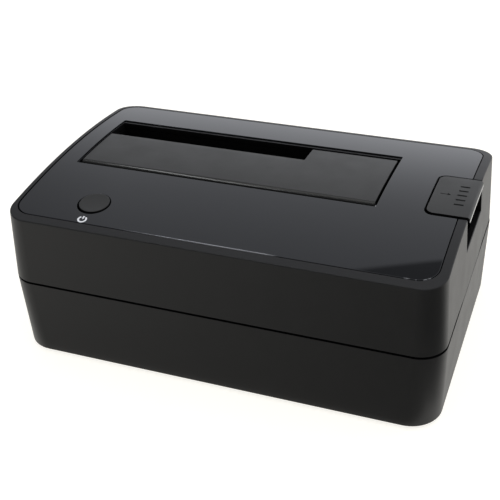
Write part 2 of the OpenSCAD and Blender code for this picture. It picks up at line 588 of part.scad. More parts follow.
lower_case();
upper_case();
top_plate();
drive_flap();
flap_hinge_pin();
flap_spring();
drive_bay();
eject_button();
eject_post_clips();
eject_springs();
eject_guide();
eject_lever();
eject_lever_pin();
power_button();
switch_plunger();
power_switch();
switch_board();
status_led();
switch_header();
switch_cable_plugs();
switch_cable();
board_header();
main_board();
sata_socket();
sata_contacts();
usb_shell();
usb_tongue();
usb_contacts();
dc_jack();
dc_jack_pin();
bridge_chip();
memory_chip();
crystal();
power_inductors();
capacitors();
case_screws();
board_screws();
bay_screws();
guide_screws();
switch_board_screws();
rubber_feet();
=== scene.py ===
import math

import bmesh
import bpy
import numpy as np
from mathutils import Matrix, Vector
from mathutils.geometry import delaunay_2d_cdt


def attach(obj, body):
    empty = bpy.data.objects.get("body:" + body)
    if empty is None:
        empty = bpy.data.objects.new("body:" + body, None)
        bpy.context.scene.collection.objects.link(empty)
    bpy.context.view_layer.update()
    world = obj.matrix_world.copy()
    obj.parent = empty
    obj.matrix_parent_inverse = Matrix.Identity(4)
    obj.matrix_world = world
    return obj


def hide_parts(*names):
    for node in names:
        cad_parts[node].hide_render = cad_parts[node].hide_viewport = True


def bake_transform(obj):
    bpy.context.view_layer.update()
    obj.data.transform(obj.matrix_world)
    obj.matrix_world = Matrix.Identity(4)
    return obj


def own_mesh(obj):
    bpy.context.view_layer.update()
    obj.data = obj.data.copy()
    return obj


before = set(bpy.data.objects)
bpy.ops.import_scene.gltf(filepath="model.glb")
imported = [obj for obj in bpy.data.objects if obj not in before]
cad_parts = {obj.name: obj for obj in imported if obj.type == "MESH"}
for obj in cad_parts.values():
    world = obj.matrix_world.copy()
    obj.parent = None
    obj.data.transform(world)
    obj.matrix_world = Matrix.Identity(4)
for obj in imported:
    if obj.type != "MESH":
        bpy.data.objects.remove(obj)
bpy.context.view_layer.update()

# Desktop drive dock: glossy crowned plate in a satin two-part case, L-shaped flap over the bay,
# round power key, press-down eject key at the right edge. Meshes are worked out in millimetres.

MM = 0.001
CASE_HX, CASE_HY, CORNER = 71.68, 45.88, 8.78
UP_Z0, LOW_Z1, BASE_Z, FLOOR_Z = 28.4, 27.6, 1.2, 3.2
TOP_Z, CROWN_R = 54.8, 278.0
KU = math.tan(math.radians(2.7))
REC_X0, REC_X1, REC_Y0, REC_Y1, REC_R = -69.0, 67.3, -41.5, 42.9, 6.2
BAY_X0, BAY_X1, BAY_Y0, BAY_Y1 = -62.0, 42.0, -9.9, 26.8
NOTCH_Y0, NOTCH_Y1, NOTCH_Z, CUT_X = -9.85, 16.6, 43.2, 56.35
KEY_X0, KEY_Y0, KEY_Y1, KEY_PROUD = 57.0, -9.0, 16.1, 0.3
BUT_X, BUT_Y = -44.3, -31.2
HINGE_Y, HINGE_Z = -6.4, 51.9763
SLOT_X, SLOT_Y = 11.2, 14.6
FLAP_X0, FLAP_X1, FLAP_Y1, FLAP_R = -61.25, 41.0, 24.0, 2.4
FLAP_TOP, FLAP_LOW, PLATE_T, NOSE_R = 0.35, 2.55, 0.7, 1.4
POST_X, POST_YS = 61.5, (-5.5, 12.5)


def crown(y):
    return TOP_Z - (CROWN_R - np.sqrt(CROWN_R ** 2 - np.square(y)))


def crown_normal(y):
    s = np.asarray(y, float) / CROWN_R
    return np.stack([np.zeros_like(s), s, np.sqrt(1 - s * s)], -1)


# ---------------------------------------------------------------- mesh helpers

class Shape:
    """Points in millimetres and faces; several closed shells may share one Shape."""

    def __init__(self):
        self.v, self.f, self.mat = [], [], []
        self.m = 0

    def add(self, pts):
        base = len(self.v)
        self.v.extend([tuple(float(c) for c in p) for p in pts])
        return list(range(base, len(self.v)))

    def face(self, idx):
        self.f.append(list(idx))
        self.mat.append(self.m)

    def strip(self, a, b, closed=True):
        n = len(a)
        for i in range(n if closed else n - 1):
            j = (i + 1) % n
            self.face([a[i], b[i], b[j], a[j]])

    def mesh(self, name):
        me = bpy.data.meshes.new(name)
        me.from_pydata([(x * MM, y * MM, z * MM) for x, y, z in self.v], [], self.f)
        me.polygons.foreach_set("material_index", self.mat)
        me.update()
        return me


def place(me, name, body, mats, angle=38.0, recalc=True, weighted=True):
    """Finishes a mesh as a piece on a body: clean, outward faces, smooth with sharp edges kept."""
    bm = bmesh.new()
    bm.from_mesh(me)
    loose = [v for v in bm.verts if not v.link_faces]
    bmesh.ops.delete(bm, geom=loose, context="VERTS")
    bmesh.ops.remove_doubles(bm, verts=bm.verts, dist=2e-7)
    bmesh.ops.dissolve_degenerate(bm, edges=bm.edges, dist=1e-7)
    if recalc:
        bmesh.ops.recalc_face_normals(bm, faces=bm.faces)
    bm.to_mesh(me)
    bm.free()
    me.polygons.foreach_set("use_smooth", [True] * len(me.polygons))
    me.set_sharp_from_angle(angle=math.radians(angle))
    me.update()
    ob = bpy.data.objects.new(name, me)
    bpy.context.scene.collection.objects.link(ob)
    for m in mats:
        me.materials.append(m)
    if weighted:
        w = ob.modifiers.new("even_normals", "WEIGHTED_NORMAL")
        w.keep_sharp = True
        w.weight = 70
    if body:
        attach(ob, body)
    return ob


def arc(cx, cy, r, a0, a1, n):
    return [(cx + r * math.cos(math.radians(a0 + (a1 - a0) * k / n)),
             cy + r * math.sin(math.radians(a0 + (a1 - a0) * k / n))) for k in range(n + 1)]


def rounded(hx, hy, r, right=(), back=(), left=(), front=(), nc=14, cx=0.0, cy=0.0):
    """Rounded rectangle, counter-clockwise, with stations on its sides: points and outward normals."""
    p = [(cx + hx, y) for y in right]
    n = [(1, 0)] * len(right)
    sides = [(back, lambda x: (x, cy + hy), (0, 1)), (left, lambda y: (cx - hx, y), (-1, 0)), (front, lambda x: (x, cy - hy), (0, -1))]
    for q, (sx, sy) in enumerate([(1, 1), (-1, 1), (-1, -1), (1, -1)]):
        p += arc(cx + sx * (hx - r), cy + sy * (hy - r), r, 90 * q, 90 * q + 90, nc)
        n += arc(0, 0, 1, 90 * q, 90 * q + 90, nc)
        if q < 3:
            st, pos, nr = sides[q]
            p += [pos(t) for t in st]
            n += [nr] * len(st)
    return np.array(p, float), np.array(n, float)


def circle(cx, cy, d, n=32):
    return [(cx + d / 2 * math.cos(2 * math.pi * k / n), cy + d / 2 * math.sin(2 * math.pi * k / n)) for k in range(n)]


def corners(pts, rad, o=0.0, n=6):
    """Outline through corner points (counter-clockwise) with a radius each; o moves every side inwards."""
    m = len(pts)
    P = [np.array(p, float) for p in pts]
    lines = []
    for i in range(m):
        d = P[(i + 1) % m] - P[i]
        d = d / np.linalg.norm(d)
        nr = np.array([-d[1], d[0]])
        lines.append((P[i] + nr * o, d, nr))
    out = []
    for i in range(m):
        a0, d0, n0 = lines[i - 1]
        a1, d1, n1 = lines[i]
        cr = d0[0] * d1[1] - d0[1] * d1[0]
        w = a1 - a0
        v = a0 + d0 * ((w[0] * d1[1] - w[1] * d1[0]) / cr)
        phi = math.atan2(cr, float(d0 @ d1))
        r = max(rad[i] - o if phi > 0 else rad[i] + o, 0.01)
        p0 = v - d0 * (r * math.tan(abs(phi) / 2))
        c = p0 + n0 * (r if phi > 0 else -r)
        q = p0 - c
        for k in range(n + 1):
            a = phi * k / n
            out.append((c[0] + q[0] * math.cos(a) - q[1] * math.sin(a), c[1] + q[0] * math.sin(a) + q[1] * math.cos(a)))
    return np.array(out)


def split_long(ref, step):
    """How many parts each side of an outline needs along y so that the crown stays smooth."""
    d = np.abs(np.roll(ref, -1, 0) - ref)
    return [max(1, int(math.ceil(max(a[1] / step, a[0] / (3 * step))))) for a in d]


def refine(pts, parts):
    out = []
    for i, k in enumerate(parts):
        a, b = pts[i], pts[(i + 1) % len(pts)]
        out += [a + (b - a) * j / k for j in range(k)]
    return np.array(out)


def inside(points, loops):
    """Even-odd test of points against all loops together."""
    x, y = points[:, 0][:, None], points[:, 1][:, None]
    hit = np.zeros(len(points), int)
    for L in loops:
        a, b = L, np.roll(L, -1, 0)
        cond = (a[:, 1] > y) != (b[:, 1] > y)
        dy = b[:, 1] - a[:, 1]
        dy = np.where(np.abs(dy) < 1e-12, 1e-12, dy)
        xi = a[:, 0] + (y - a[:, 1]) * (b[:, 0] - a[:, 0]) / dy
        hit += (cond & (x < xi)).sum(1)
    return hit % 2 == 1


def fill(loops, dx=None, dy=None, clear=0.9, extra=()):
    """Triangles between an outer loop and the holes in it. Returns all points (loops first) and the triangles."""
    loops = [np.asarray(L, float) for L in loops]
    pts = np.concatenate(loops)
    edges, base = [], 0
    for L in loops:
        edges += [(base + i, base + (i + 1) % len(L)) for i in range(len(L))]
        base += len(L)
    if dx:
        lo, hi = loops[0].min(0), loops[0].max(0)
        gx, gy = np.meshgrid(np.arange(lo[0] + dx / 2, hi[0], dx), np.arange(lo[1] + dy / 2, hi[1], dy))
        g = np.stack([gx.ravel(), gy.ravel()], 1)
        g = g[inside(g, loops)]
        near = np.array([np.min(np.sum((pts - q) ** 2, 1)) for q in g])
        g = g[near > clear * clear]
        pts = np.concatenate([pts, g])
    if len(extra):
        g = np.asarray(extra, float)
        g = g[inside(g, loops)]
        near = np.array([np.min(np.sum((pts - q) ** 2, 1)) for q in g])
        pts = np.concatenate([pts, g[near > 0.01]])
    res = delaunay_2d_cdt([Vector((float(p[0]), float(p[1]))) for p in pts], edges, [], 0, 1e-7)
    back = [o[0] for o in res[3]]
    tris = np.array([[back[i] for i in f] for f in res[2]])
    mid = pts[tris].mean(1)
    tris = tris[inside(mid, loops)]
    a, b, c = pts[tris[:, 0]], pts[tris[:, 1]], pts[tris[:, 2]]
    area = (b[:, 0] - a[:, 0]) * (c[:, 1] - a[:, 1]) - (b[:, 1] - a[:, 1]) * (c[:, 0] - a[:, 0])
    tris[area < 0] = tris[area < 0][:, ::-1]
    return pts, tris[np.abs(area) > 1e-9]


def crowned_sheet(outer, holes=(), top=0.0, thick=1.0, f=0.25, pockets=(), dx=5.0, dy=2.0, step=2.0, pocket_floor=1,
                  fb=None, roll=None, extra=(), parts_of=None, edge_mat=None, sink=None):
    """A sheet that follows the crown: outer and holes are functions of an inset, pockets are (function, depth).
    f and fb round its upper and lower edges. roll is (x, radius): right of x the top turns down on that radius.
    edge_mat gives a material number for an outward direction of the outer edge. sink is (y0, y1, drop): the top falls
    by drop between y0 and y1.
    Returns a Shape and a normal for each of its points."""
    s = Shape()
    normals = []
    fb = f if fb is None else fb
    cut = parts_of or split_long

    def put(xy, z, nr):
        normals.extend(nr)
        return s.add([(p[0], p[1], h) for p, h in zip(xy, z)])

    def fall(xy):
        """How far the rolled edge has come down, and its slope."""
        x = np.asarray(xy)[:, 0]
        if not roll:
            return np.zeros(len(x)), np.zeros(len(x))
        d = np.clip(x - roll[0], 0, roll[1] * 0.99)
        h = np.sqrt(roll[1] ** 2 - d * d)
        return roll[1] - h, d / h

    def level(xy, dz):
        z = crown(np.asarray(xy)[:, 1]) + top + dz - fall(xy)[0]
        if sink:
            z = z - sink[2] * np.clip((np.asarray(xy)[:, 1] - sink[0]) / (sink[1] - sink[0]), 0, 1)
        return z

    def under(xy, dz):
        return crown(np.asarray(xy)[:, 1]) + top - thick + dz

    def up_normal(xy):
        n = crown_normal(np.asarray(xy)[:, 1])
        n = n / n[:, 2:]
        n[:, 0] = fall(xy)[1]
        return n / np.linalg.norm(n, axis=1)[:, None]

    kinds = [(outer, 1)] + [(h, -1) for h in holes]
    loops_of = []
    for fn, sign in kinds:
        parts = cut(fn(0.0), step)
        loops_of.append(lambda o, fn=fn, parts=parts: refine(fn(o), parts))
    pocket_of = []
    for fn, depth in pockets:
        parts = split_long(fn(0.0), step)
        pocket_of.append((lambda o, fn=fn, parts=parts: refine(fn(o), parts), depth))
    soft = 0.06
    top_loops = [g(f) for g in loops_of] + [g(soft) for g, _ in pocket_of]
    pts, tris = fill(top_loops, dx, dy, extra=extra)
    up = put(pts, level(pts, 0), up_normal(pts))
    for t in tris:
        s.face([up[i] for i in t])
    # the underside has no pockets
    bot_loops = [g(fb) for g in loops_of]
    bpts, btris = fill(bot_loops, dx, dy)
    dn = put(bpts, under(bpts, 0), -crown_normal(bpts[:, 1]))
    for t in btris:
        s.face([dn[i] for i in t[::-1]])
    start = 0
    for (fn, sign), g in zip(kinds, loops_of):
        n = len(g(f))
        out = g(0.0) - g(f)
        out = out / np.maximum(np.linalg.norm(out, axis=1), 1e-9)[:, None]
        rings = [up[start:start + n]]
        upn, dnn = up_normal(g(f)), crown_normal(g(f)[:, 1])
        side = np.concatenate([out, np.zeros((n, 1))], 1)
        for th in (30, 60, 90):
            t = math.radians(th)
            xy = g(f * (1 - math.sin(t)))
            nr = side * math.sin(t) + upn * math.cos(t)
            rings.append(put(xy, level(xy, -f * (1 - math.cos(t))), nr / np.linalg.norm(nr, axis=1)[:, None]))
        for th in (90, 60, 30):
            t = math.radians(th)
            xy = g(fb * (1 - math.sin(t)))
            nr = side * math.sin(t) - dnn * math.cos(t)
            rings.append(put(xy, under(xy, fb * (1 - math.cos(t))), nr / np.linalg.norm(nr, axis=1)[:, None]))
        rings.append(dn[start:start + n])
        for k, (a, b) in enumerate(zip(rings, rings[1:])):
            first = len(s.f)
            if sign > 0:
                s.strip(a, b)
            else:
                s.strip(b, a)
            if edge_mat and sign > 0 and k >= 2:
                for i in range(n):
                    s.mat[first + i] = edge_mat(out[i] + out[(i + 1) % n])
        start += n
    for g, depth in pocket_of:
        n = len(g(soft))
        a = up[start:start + n]
        start += n
        xy = g(0.0)
        upn = crown_normal(xy[:, 1])
        inw = g(soft) - xy
        inw = -inw / np.maximum(np.linalg.norm(inw, axis=1), 1e-9)[:, None]
        side = np.concatenate([inw, np.zeros((n, 1))], 1)
        nr = side * 0.7 + upn * 0.7
        b = put(xy, level(xy, -soft), nr / np.linalg.norm(nr, axis=1)[:, None])
        c = put(xy, level(xy, -depth), side)
        s.strip(b, a)
        s.strip(c, b)
        fp, ft = fill([xy])
        fl = put(fp, level(fp, -depth), upn)
        keep, s.m = s.m, pocket_floor
        for t in ft:
            s.face([fl[i] for i in t])
        s.m = keep
    return s, normals


def place_sheet(s, normals, name, body, mats):
    """A crowned sheet with its own exact normals."""
    me = s.mesh(name)
    for m in mats:
        me.materials.append(m)
    me.polygons.foreach_set("use_smooth", [True] * len(me.polygons))
    me.normals_split_custom_set_from_vertices([tuple(float(c) for c in n) for n in normals])
    me.update()
    ob = bpy.data.objects.new(name, me)
    bpy.context.scene.collection.objects.link(ob)
    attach(ob, body)
    return ob


def lathe(s, cx, cy, prof, n=32, tilt=None):
    """A turned closed solid about an upright axis; prof is (radius, z) from one pole to the other."""
    rings = []
    for r, z in prof:
        if r < 1e-6:
            rings.append(s.add([(cx, cy, z)]))
        else:
            rings.append(s.add([(x, y, z + (tilt(x, y) if tilt else 0.0)) for x, y in circle(cx, cy, 2 * r, n)]))
    for a, b in zip(rings, rings[1:]):
        if len(a) == 1 and len(b) > 1:
            for i in range(n):
                s.face([a[0], b[i], b[(i + 1) % n]])
        elif len(b) == 1 and len(a) > 1:
            for i in range(n):
                s.face([a[i], b[0], a[(i + 1) % n]])
        elif len(a) > 1:
            s.strip(a, b)
    return rings


def tube(s, cx, cy, z0, z1, d, bore, c=0.25, n=28):
    """A boss with a hole right through it and small chamfers."""
    prof = [(bore / 2, z0 + c), (bore / 2 + c, z0), (d / 2 - c, z0), (d / 2, z0 + c), (d / 2, z1 - c), (d / 2 - c, z1),
            (bore / 2 + c, z1), (bore / 2, z1 - c), (bore / 2, z0 + c)]
    rings = [s.add([(x, y, z) for x, y in circle(cx, cy, 2 * r, n)]) for r, z in prof[:-1]]
    for a, b in zip(rings, rings[1:] + rings[:1]):
        s.strip(a, b)


def block(s, x0, y0, z0, x1, y1, z1, c=0.25):
    """A block with all its edges chamfered."""
    xs, ys, zs = (x0, x0 + c, x1 - c, x1), (y0, y0 + c, y1 - c, y1), (z0, z0 + c, z1 - c, z1)
    rings = []
    for k, ins in ((0, 1), (1, 0), (2, 0), (3, 1)):
        a, b = (xs[0], xs[3]) if not ins else (xs[1], xs[2])
        e, h = (ys[0], ys[3]) if not ins else (ys[1], ys[2])
        q = c if not ins else 0.0
        if ins:
            pts = [(a + c, e), (b - c, e), (b, e + c), (b, h - c), (b - c, h), (a + c, h), (a, h - c), (a, e + c)]
        else:
            pts = [(a + 2 * c, e), (b - 2 * c, e), (b, e + 2 * c), (b, h - 2 * c), (b - 2 * c, h), (a + 2 * c, h), (a, h - 2 * c), (a, e + 2 * c)]
        rings.append(s.add([(x, y, zs[k]) for x, y in pts]))
    s.face(rings[0][::-1])
    s.face(rings[3])
    for a, b in zip(rings, rings[1:]):
        s.strip(b, a)


def wire(s, pts, d, sides=10):
    """A round wire along points, with closed ends."""
    P = [np.array(p, float) for p in pts]
    n = len(P)
    up, rings = None, []
    for i in range(n):
        t = P[min(i + 1, n - 1)] - P[max(i - 1, 0)]
        t = t / np.linalg.norm(t)
        if up is None:
            up = np.cross(t, [0.3, 1, 0.2])
        up = up - t * (up @ t)
        up = up / np.linalg.norm(up)
        w = np.cross(t, up)
        rings.append(s.add([P[i] + d / 2 * (math.cos(2 * math.pi * k / sides) * up + math.sin(2 * math.pi * k / sides) * w) for k in range(sides)]))
    for a, b in zip(rings, rings[1:]):
        s.strip(a, b)
    s.face(rings[0])
    s.face(rings[-1][::-1])


# ---------------------------------------------------------------- materials

def nodes_of(name):
    m = bpy.data.materials.new(name)
    m.use_nodes = True
    nt = m.node_tree
    return m, nt, nt.nodes["Principled BSDF"], nt.nodes.new("ShaderNodeTexCoord").outputs["Object"]


def noise(nt, vec, size_mm, detail=2.0, rough=0.5, distort=0.0):
    n = nt.nodes.new("ShaderNodeTexNoise")
    n.inputs["Scale"].default_value = 1000.0 / size_mm
    n.inputs["Detail"].default_value = detail
    n.inputs["Roughness"].default_value = rough
    n.inputs["Distortion"].default_value = distort
    nt.links.new(vec, n.inputs["Vector"])
    return n.outputs["Fac"]


def ramp(nt, fac, stops):
    r = nt.nodes.new("ShaderNodeValToRGB")
    e = r.color_ramp.elements
    while len(e) < len(stops):
        e.new(0.5)
    for k, (pos, col) in enumerate(stops):
        e[k].position = pos
        e[k].color = (*col, 1.0)
    nt.links.new(fac, r.inputs["Fac"])
    return r.outputs["Color"]


def spread(nt, fac, lo, hi, a=0.3, b=0.7):
    r = nt.nodes.new("ShaderNodeMapRange")
    r.inputs["From Min"].default_value = a
    r.inputs["From Max"].default_value = b
    r.inputs["To Min"].default_value = lo
    r.inputs["To Max"].default_value = hi
    nt.links.new(fac, r.inputs["Value"])
    return r.outputs["Result"]


def math2(nt, op, a, b):
    r = nt.nodes.new("ShaderNodeMath")
    r.operation = op
    for k, v in enumerate((a, b)):
        if isinstance(v, (int, float)):
            r.inputs[k].default_value = v
        else:
            nt.links.new(v, r.inputs[k])
    return r.outputs[0]


def bump(nt, bsdf, height, strength, depth_mm, after=None):
    b = nt.nodes.new("ShaderNodeBump")
    b.inputs["Strength"].default_value = strength
    b.inputs["Distance"].default_value = depth_mm * MM
    nt.links.new(height, b.inputs["Height"])
    if after is not None:
        nt.links.new(after, b.inputs["Normal"])
    nt.links.new(b.outputs["Normal"], bsdf.inputs["Normal"])
    return b.outputs["Normal"]


def plastic(name, col, rough, ior, grain_mm=0.35, grain=0.25, depth=0.012, var=0.2, rvar=0.05, mottle=9.0):
    """Moulded plastic: spark-eroded grain, slow mottling in colour and sheen."""
    m, nt, b, vec = nodes_of(name)
    slow = noise(nt, vec, mottle, 3.0)
    fine = noise(nt, vec, grain_mm, 2.0, 0.6)
    c = np.array(col)
    b.inputs["Base Color"].default_value = (*col, 1)
    nt.links.new(ramp(nt, slow, [(0.3, tuple(c * (1 - var))), (0.7, tuple(c * (1 + var)))]), b.inputs["Base Color"])
    mix = math2(nt, "ADD", spread(nt, slow, rough - rvar, rough + rvar), spread(nt, fine, -0.02, 0.02))
    nt.links.new(mix, b.inputs["Roughness"])
    b.inputs["IOR"].default_value = ior
    bump(nt, b, fine, grain, depth)
    return m


def gloss(name, col, rough, ior):
    """Polished acrylic: faint wipe marks in the sheen, a very slight moulding wave and a painted highlight along its
    front edge.
    """
    m, nt, b, vec = nodes_of(name)
    st = nt.nodes.new("ShaderNodeMapping")
    st.inputs["Rotation"].default_value = (0, 0, 0.5)
    st.inputs["Scale"].default_value = (1, 5, 1)
    nt.links.new(vec, st.inputs["Vector"])
    wipe = noise(nt, st.outputs["Vector"], 26.0, 4.0, 0.6, 0.6)
    wave = noise(nt, vec, 24.0, 1.0)
    c = np.array(col)
    base = ramp(nt, wipe, [(0.3, tuple(c * 0.9)), (0.7, tuple(c * 1.1))])
    nt.links.new(spread(nt, wipe, rough * 0.75, rough * 1.25), b.inputs["Roughness"])
    b.inputs["IOR"].default_value = ior
    # painted highlight: a lighter band along part of the front edge's length stands in for a glint of light on the edge
    # fillet
    sep = nt.nodes.new("ShaderNodeSeparateXYZ")
    nt.links.new(vec, sep.inputs[0])
    rad = (REC_R - 0.25) * MM
    q = math2(nt, "MAXIMUM", math2(nt, "SUBTRACT", sep.outputs["X"], (REC_X1 - 0.3) * MM - rad), 0.0)
    q = math2(nt, "SQRT", math2(nt, "SUBTRACT", rad * rad, math2(nt, "MULTIPLY", q, q)), 0.0)
    deep = math2(nt, "ADD", sep.outputs["Y"], math2(nt, "SUBTRACT", q, (REC_Y0 + 0.25) * MM + rad))
    band = spread(nt, deep, 1.0, 0.0, 0.17 * MM, 0.27 * MM)
    run = math2(nt, "MULTIPLY", spread(nt, sep.outputs["X"], 0.0, 1.0, -0.030, 0.0), spread(nt, sep.outputs["X"], 1.0, 0.0, 0.017, 0.021))
    # speckles of painted highlight near the plate's right front corner
    chip = spread(nt, noise(nt, vec, 1.6, 2.0), 0.0, 1.0, 0.50, 0.58)
    chip = math2(nt, "MULTIPLY", chip, spread(nt, sep.outputs["X"], 0.0, 0.7, 0.0578, 0.0588))
    chip = math2(nt, "MULTIPLY", chip, spread(nt, sep.outputs["X"], 1.0, 0.0, 0.0652, 0.0662))
    painted_glint = math2(nt, "MULTIPLY", band, math2(nt, "MAXIMUM", run, chip))
    mix = nt.nodes.new("ShaderNodeMix")
    mix.data_type = "RGBA"
    nt.links.new(painted_glint, mix.inputs["Factor"])
    nt.links.new(base, mix.inputs["A"])
    mix.inputs["B"].default_value = (0.30, 0.30, 0.31, 1)
    nt.links.new(mix.outputs["Result"], b.inputs["Base Color"])
    bump(nt, b, wave, 0.02, 0.05)
    return m


def metal(name, col, rough, brush_mm=0.25, axis=0, grain=0.15, var=0.12):
    """Drawn or plated metal with fine lines along one axis."""
    m, nt, b, vec = nodes_of(name)
    st = nt.nodes.new("ShaderNodeMapping")
    sc = [1.0, 1.0, 1.0]
    sc[axis] = 0.08
    st.inputs["Scale"].default_value = sc
    nt.links.new(vec, st.inputs["Vector"])
    line = noise(nt, st.outputs["Vector"], brush_mm, 3.0, 0.6)
    slow = noise(nt, vec, 4.0, 2.0)
    c = np.array(col)
    b.inputs["Metallic"].default_value = 1.0
    b.inputs["Base Color"].default_value = (*col, 1)
    nt.links.new(ramp(nt, slow, [(0.3, tuple(c * (1 - var))), (0.7, tuple(np.minimum(c * (1 + var), 1)))]), b.inputs["Base Color"])
    nt.links.new(spread(nt, line, rough * 0.7, rough * 1.3), b.inputs["Roughness"])
    bump(nt, b, line, grain, 0.01)
    return m


def board_green(name):
    """Circuit board: solder mask over copper tracks, with rows of pads."""
    m, nt, b, vec = nodes_of(name)
    w = nt.nodes.new("ShaderNodeTexBrick")
    w.inputs["Scale"].default_value = 1000.0 / 3.2
    w.inputs["Color1"].default_value = (0.010, 0.075, 0.032, 1)
    w.inputs["Color2"].default_value = (0.014, 0.095, 0.040, 1)
    w.inputs["Mortar"].default_value = (0.022, 0.14, 0.060, 1)
    w.inputs["Mortar Size"].default_value = 0.06
    nt.links.new(vec, w.inputs["Vector"])
    slow = noise(nt, vec, 7.0, 2.0)
    nt.links.new(w.outputs["Color"], b.inputs["Base Color"])
    nt.links.new(spread(nt, slow, 0.25, 0.4), b.inputs["Roughness"])
    bump(nt, b, w.outputs["Fac"], 0.3, 0.02)
    return m


def weave(name, col, rough):
    """Flat cable: four ribs side by side."""
    m, nt, b, vec = nodes_of(name)
    w = nt.nodes.new("ShaderNodeTexWave")
    w.inputs["Scale"].default_value = 1000.0 / 1.25 / (2 * math.pi) * 1.0
    w.inputs["Distortion"].default_value = 0.0
    nt.links.new(vec, w.inputs["Vector"])
    c = np.array(col)
    nt.links.new(ramp(nt, w.outputs["Fac"], [(0.0, tuple(c * 0.6)), (1.0, tuple(c * 1.3))]), b.inputs["Base Color"])
    nt.links.new(spread(nt, noise(nt, vec, 1.0), rough - 0.05, rough + 0.05), b.inputs["Roughness"])
    bump(nt, b, w.outputs["Fac"], 0.6, 0.2)
    return m


CASE = plastic("case_satin", (0.0060, 0.0060, 0.0060), 0.44, 1.38, 0.32, 0.07, var=0.12, rvar=0.02)
PLATE = gloss("plate_acrylic", (0.0035, 0.0037, 0.0044), 0.03, 1.49)
# painted light: the deck's top is a lighter matte grey than the shell, standing in for light on the ledge behind the
# bay
DECK_PAINTED_LIGHT = plastic("deck_painted_light", (0.045, 0.045, 0.046), 0.6, 1.45, 0.4, 0.25)
# painted highlight: light grey on the eject key's outer lip edge stands in for the bright glint along it
KEY_EDGE_HIGHLIGHT = plastic("key_edge_painted_highlight", (0.42, 0.42, 0.41), 0.35, 1.45, 0.3, 0.1, var=0.1)
KEY = plastic("key_satin", (0.0075, 0.0075, 0.0075), 0.40, 1.45, 0.28, 0.12)
FLAP = plastic("flap_satin", (0.0085, 0.0085, 0.0085), 0.40, 1.45, 0.28, 0.12)
NOSE = plastic("flap_nose", (0.0085, 0.0085, 0.0085), 0.15, 1.45, 0.28, 0.02, rvar=0.02)
DEBOSS = plastic("key_pressed", (0.003, 0.003, 0.003), 0.6, 1.4, 0.3, 0.2)
# near-black with little sheen: painted shade in joints, gaps and recesses, and on the inner parts seen through them
INNER_BLACK_SHADE = plastic("inner_black_painted_shade", (0.0016, 0.0016, 0.0017), 0.85, 1.42, 0.4, 0.3)
INNER_BLACK_SHADE.node_tree.nodes["Principled BSDF"].inputs["Specular IOR Level"].default_value = 0.12
for warm in (FLAP, NOSE, KEY):
    warm.node_tree.nodes["Principled BSDF"].inputs["Specular Tint"].default_value = (1.0, 1.0, 0.94, 1)
PLATE.node_tree.nodes["Principled BSDF"].inputs["Specular Tint"].default_value = (0.95, 0.97, 1.0, 1)
RUBBER = plastic("foot_rubber", (0.010, 0.010, 0.010), 0.75, 1.5, 0.5, 0.5, 0.03)
PRINT = plastic("white_print", (0.88, 0.89, 0.90), 0.55, 1.45, 0.15, 0.2, 0.004, 0.05)
STEEL = metal("steel", (0.62, 0.62, 0.64), 0.26)
BLACK_STEEL = metal("black_steel", (0.06, 0.06, 0.062), 0.38)
TIN = metal("tin_shell", (0.66, 0.66, 0.68), 0.24, 0.3, 0)
GILT = metal("gilt", (0.86, 0.62, 0.25), 0.22, 0.2, 1)
BOARD = board_green("board")
SOCKET = plastic("socket_black", (0.009, 0.009, 0.010), 0.5, 1.45, 0.25, 0.2)
BLUE = plastic("socket_blue", (0.010, 0.045, 0.32), 0.42, 1.45, 0.3, 0.15)
NYLON = plastic("nylon", (0.72, 0.69, 0.58), 0.45, 1.5, 0.4, 0.15)
CHIP = plastic("chip", (0.012, 0.012, 0.013), 0.6, 1.5, 0.12, 0.4)
FERRITE = plastic("ferrite", (0.028, 0.028, 0.030), 0.7, 1.5, 0.2, 0.5)
CAN = metal("can", (0.20, 0.23, 0.32), 0.35, 0.3, 2)
LED = plastic("led", (0.72, 0.78, 0.84), 0.25, 1.5, 0.6, 0.05)
CABLE = weave("cable", (0.03, 0.03, 0.03), 0.5)

# the drive bay and eject guide take the near-black of painted shade
NODE_MATS = {
    "drive_bay": INNER_BLACK_SHADE, "eject_guide": INNER_BLACK_SHADE, "eject_lever": SOCKET, "flap_hinge_pin": STEEL, "eject_lever_pin": STEEL,
    "eject_post_clips": STEEL, "switch_plunger": SOCKET, "power_switch": SOCKET, "switch_board": BOARD, "main_board": BOARD,
    "status_led": LED, "switch_header": NYLON, "board_header": NYLON, "switch_cable_plugs": NYLON, "switch_cable": CABLE,
    "sata_socket": SOCKET, "sata_contacts": GILT, "usb_shell": TIN, "usb_tongue": BLUE, "usb_contacts": GILT,
    "dc_jack": SOCKET, "dc_jack_pin": STEEL, "bridge_chip": CHIP, "memory_chip": CHIP, "crystal": TIN,
    "power_inductors": FERRITE, "capacitors": CAN, "case_screws": BLACK_STEEL, "board_screws": STEEL, "bay_screws": STEEL,
    "guide_screws": STEEL, "switch_board_screws": STEEL,
}


# ---------------------------------------------------------------- upper shell

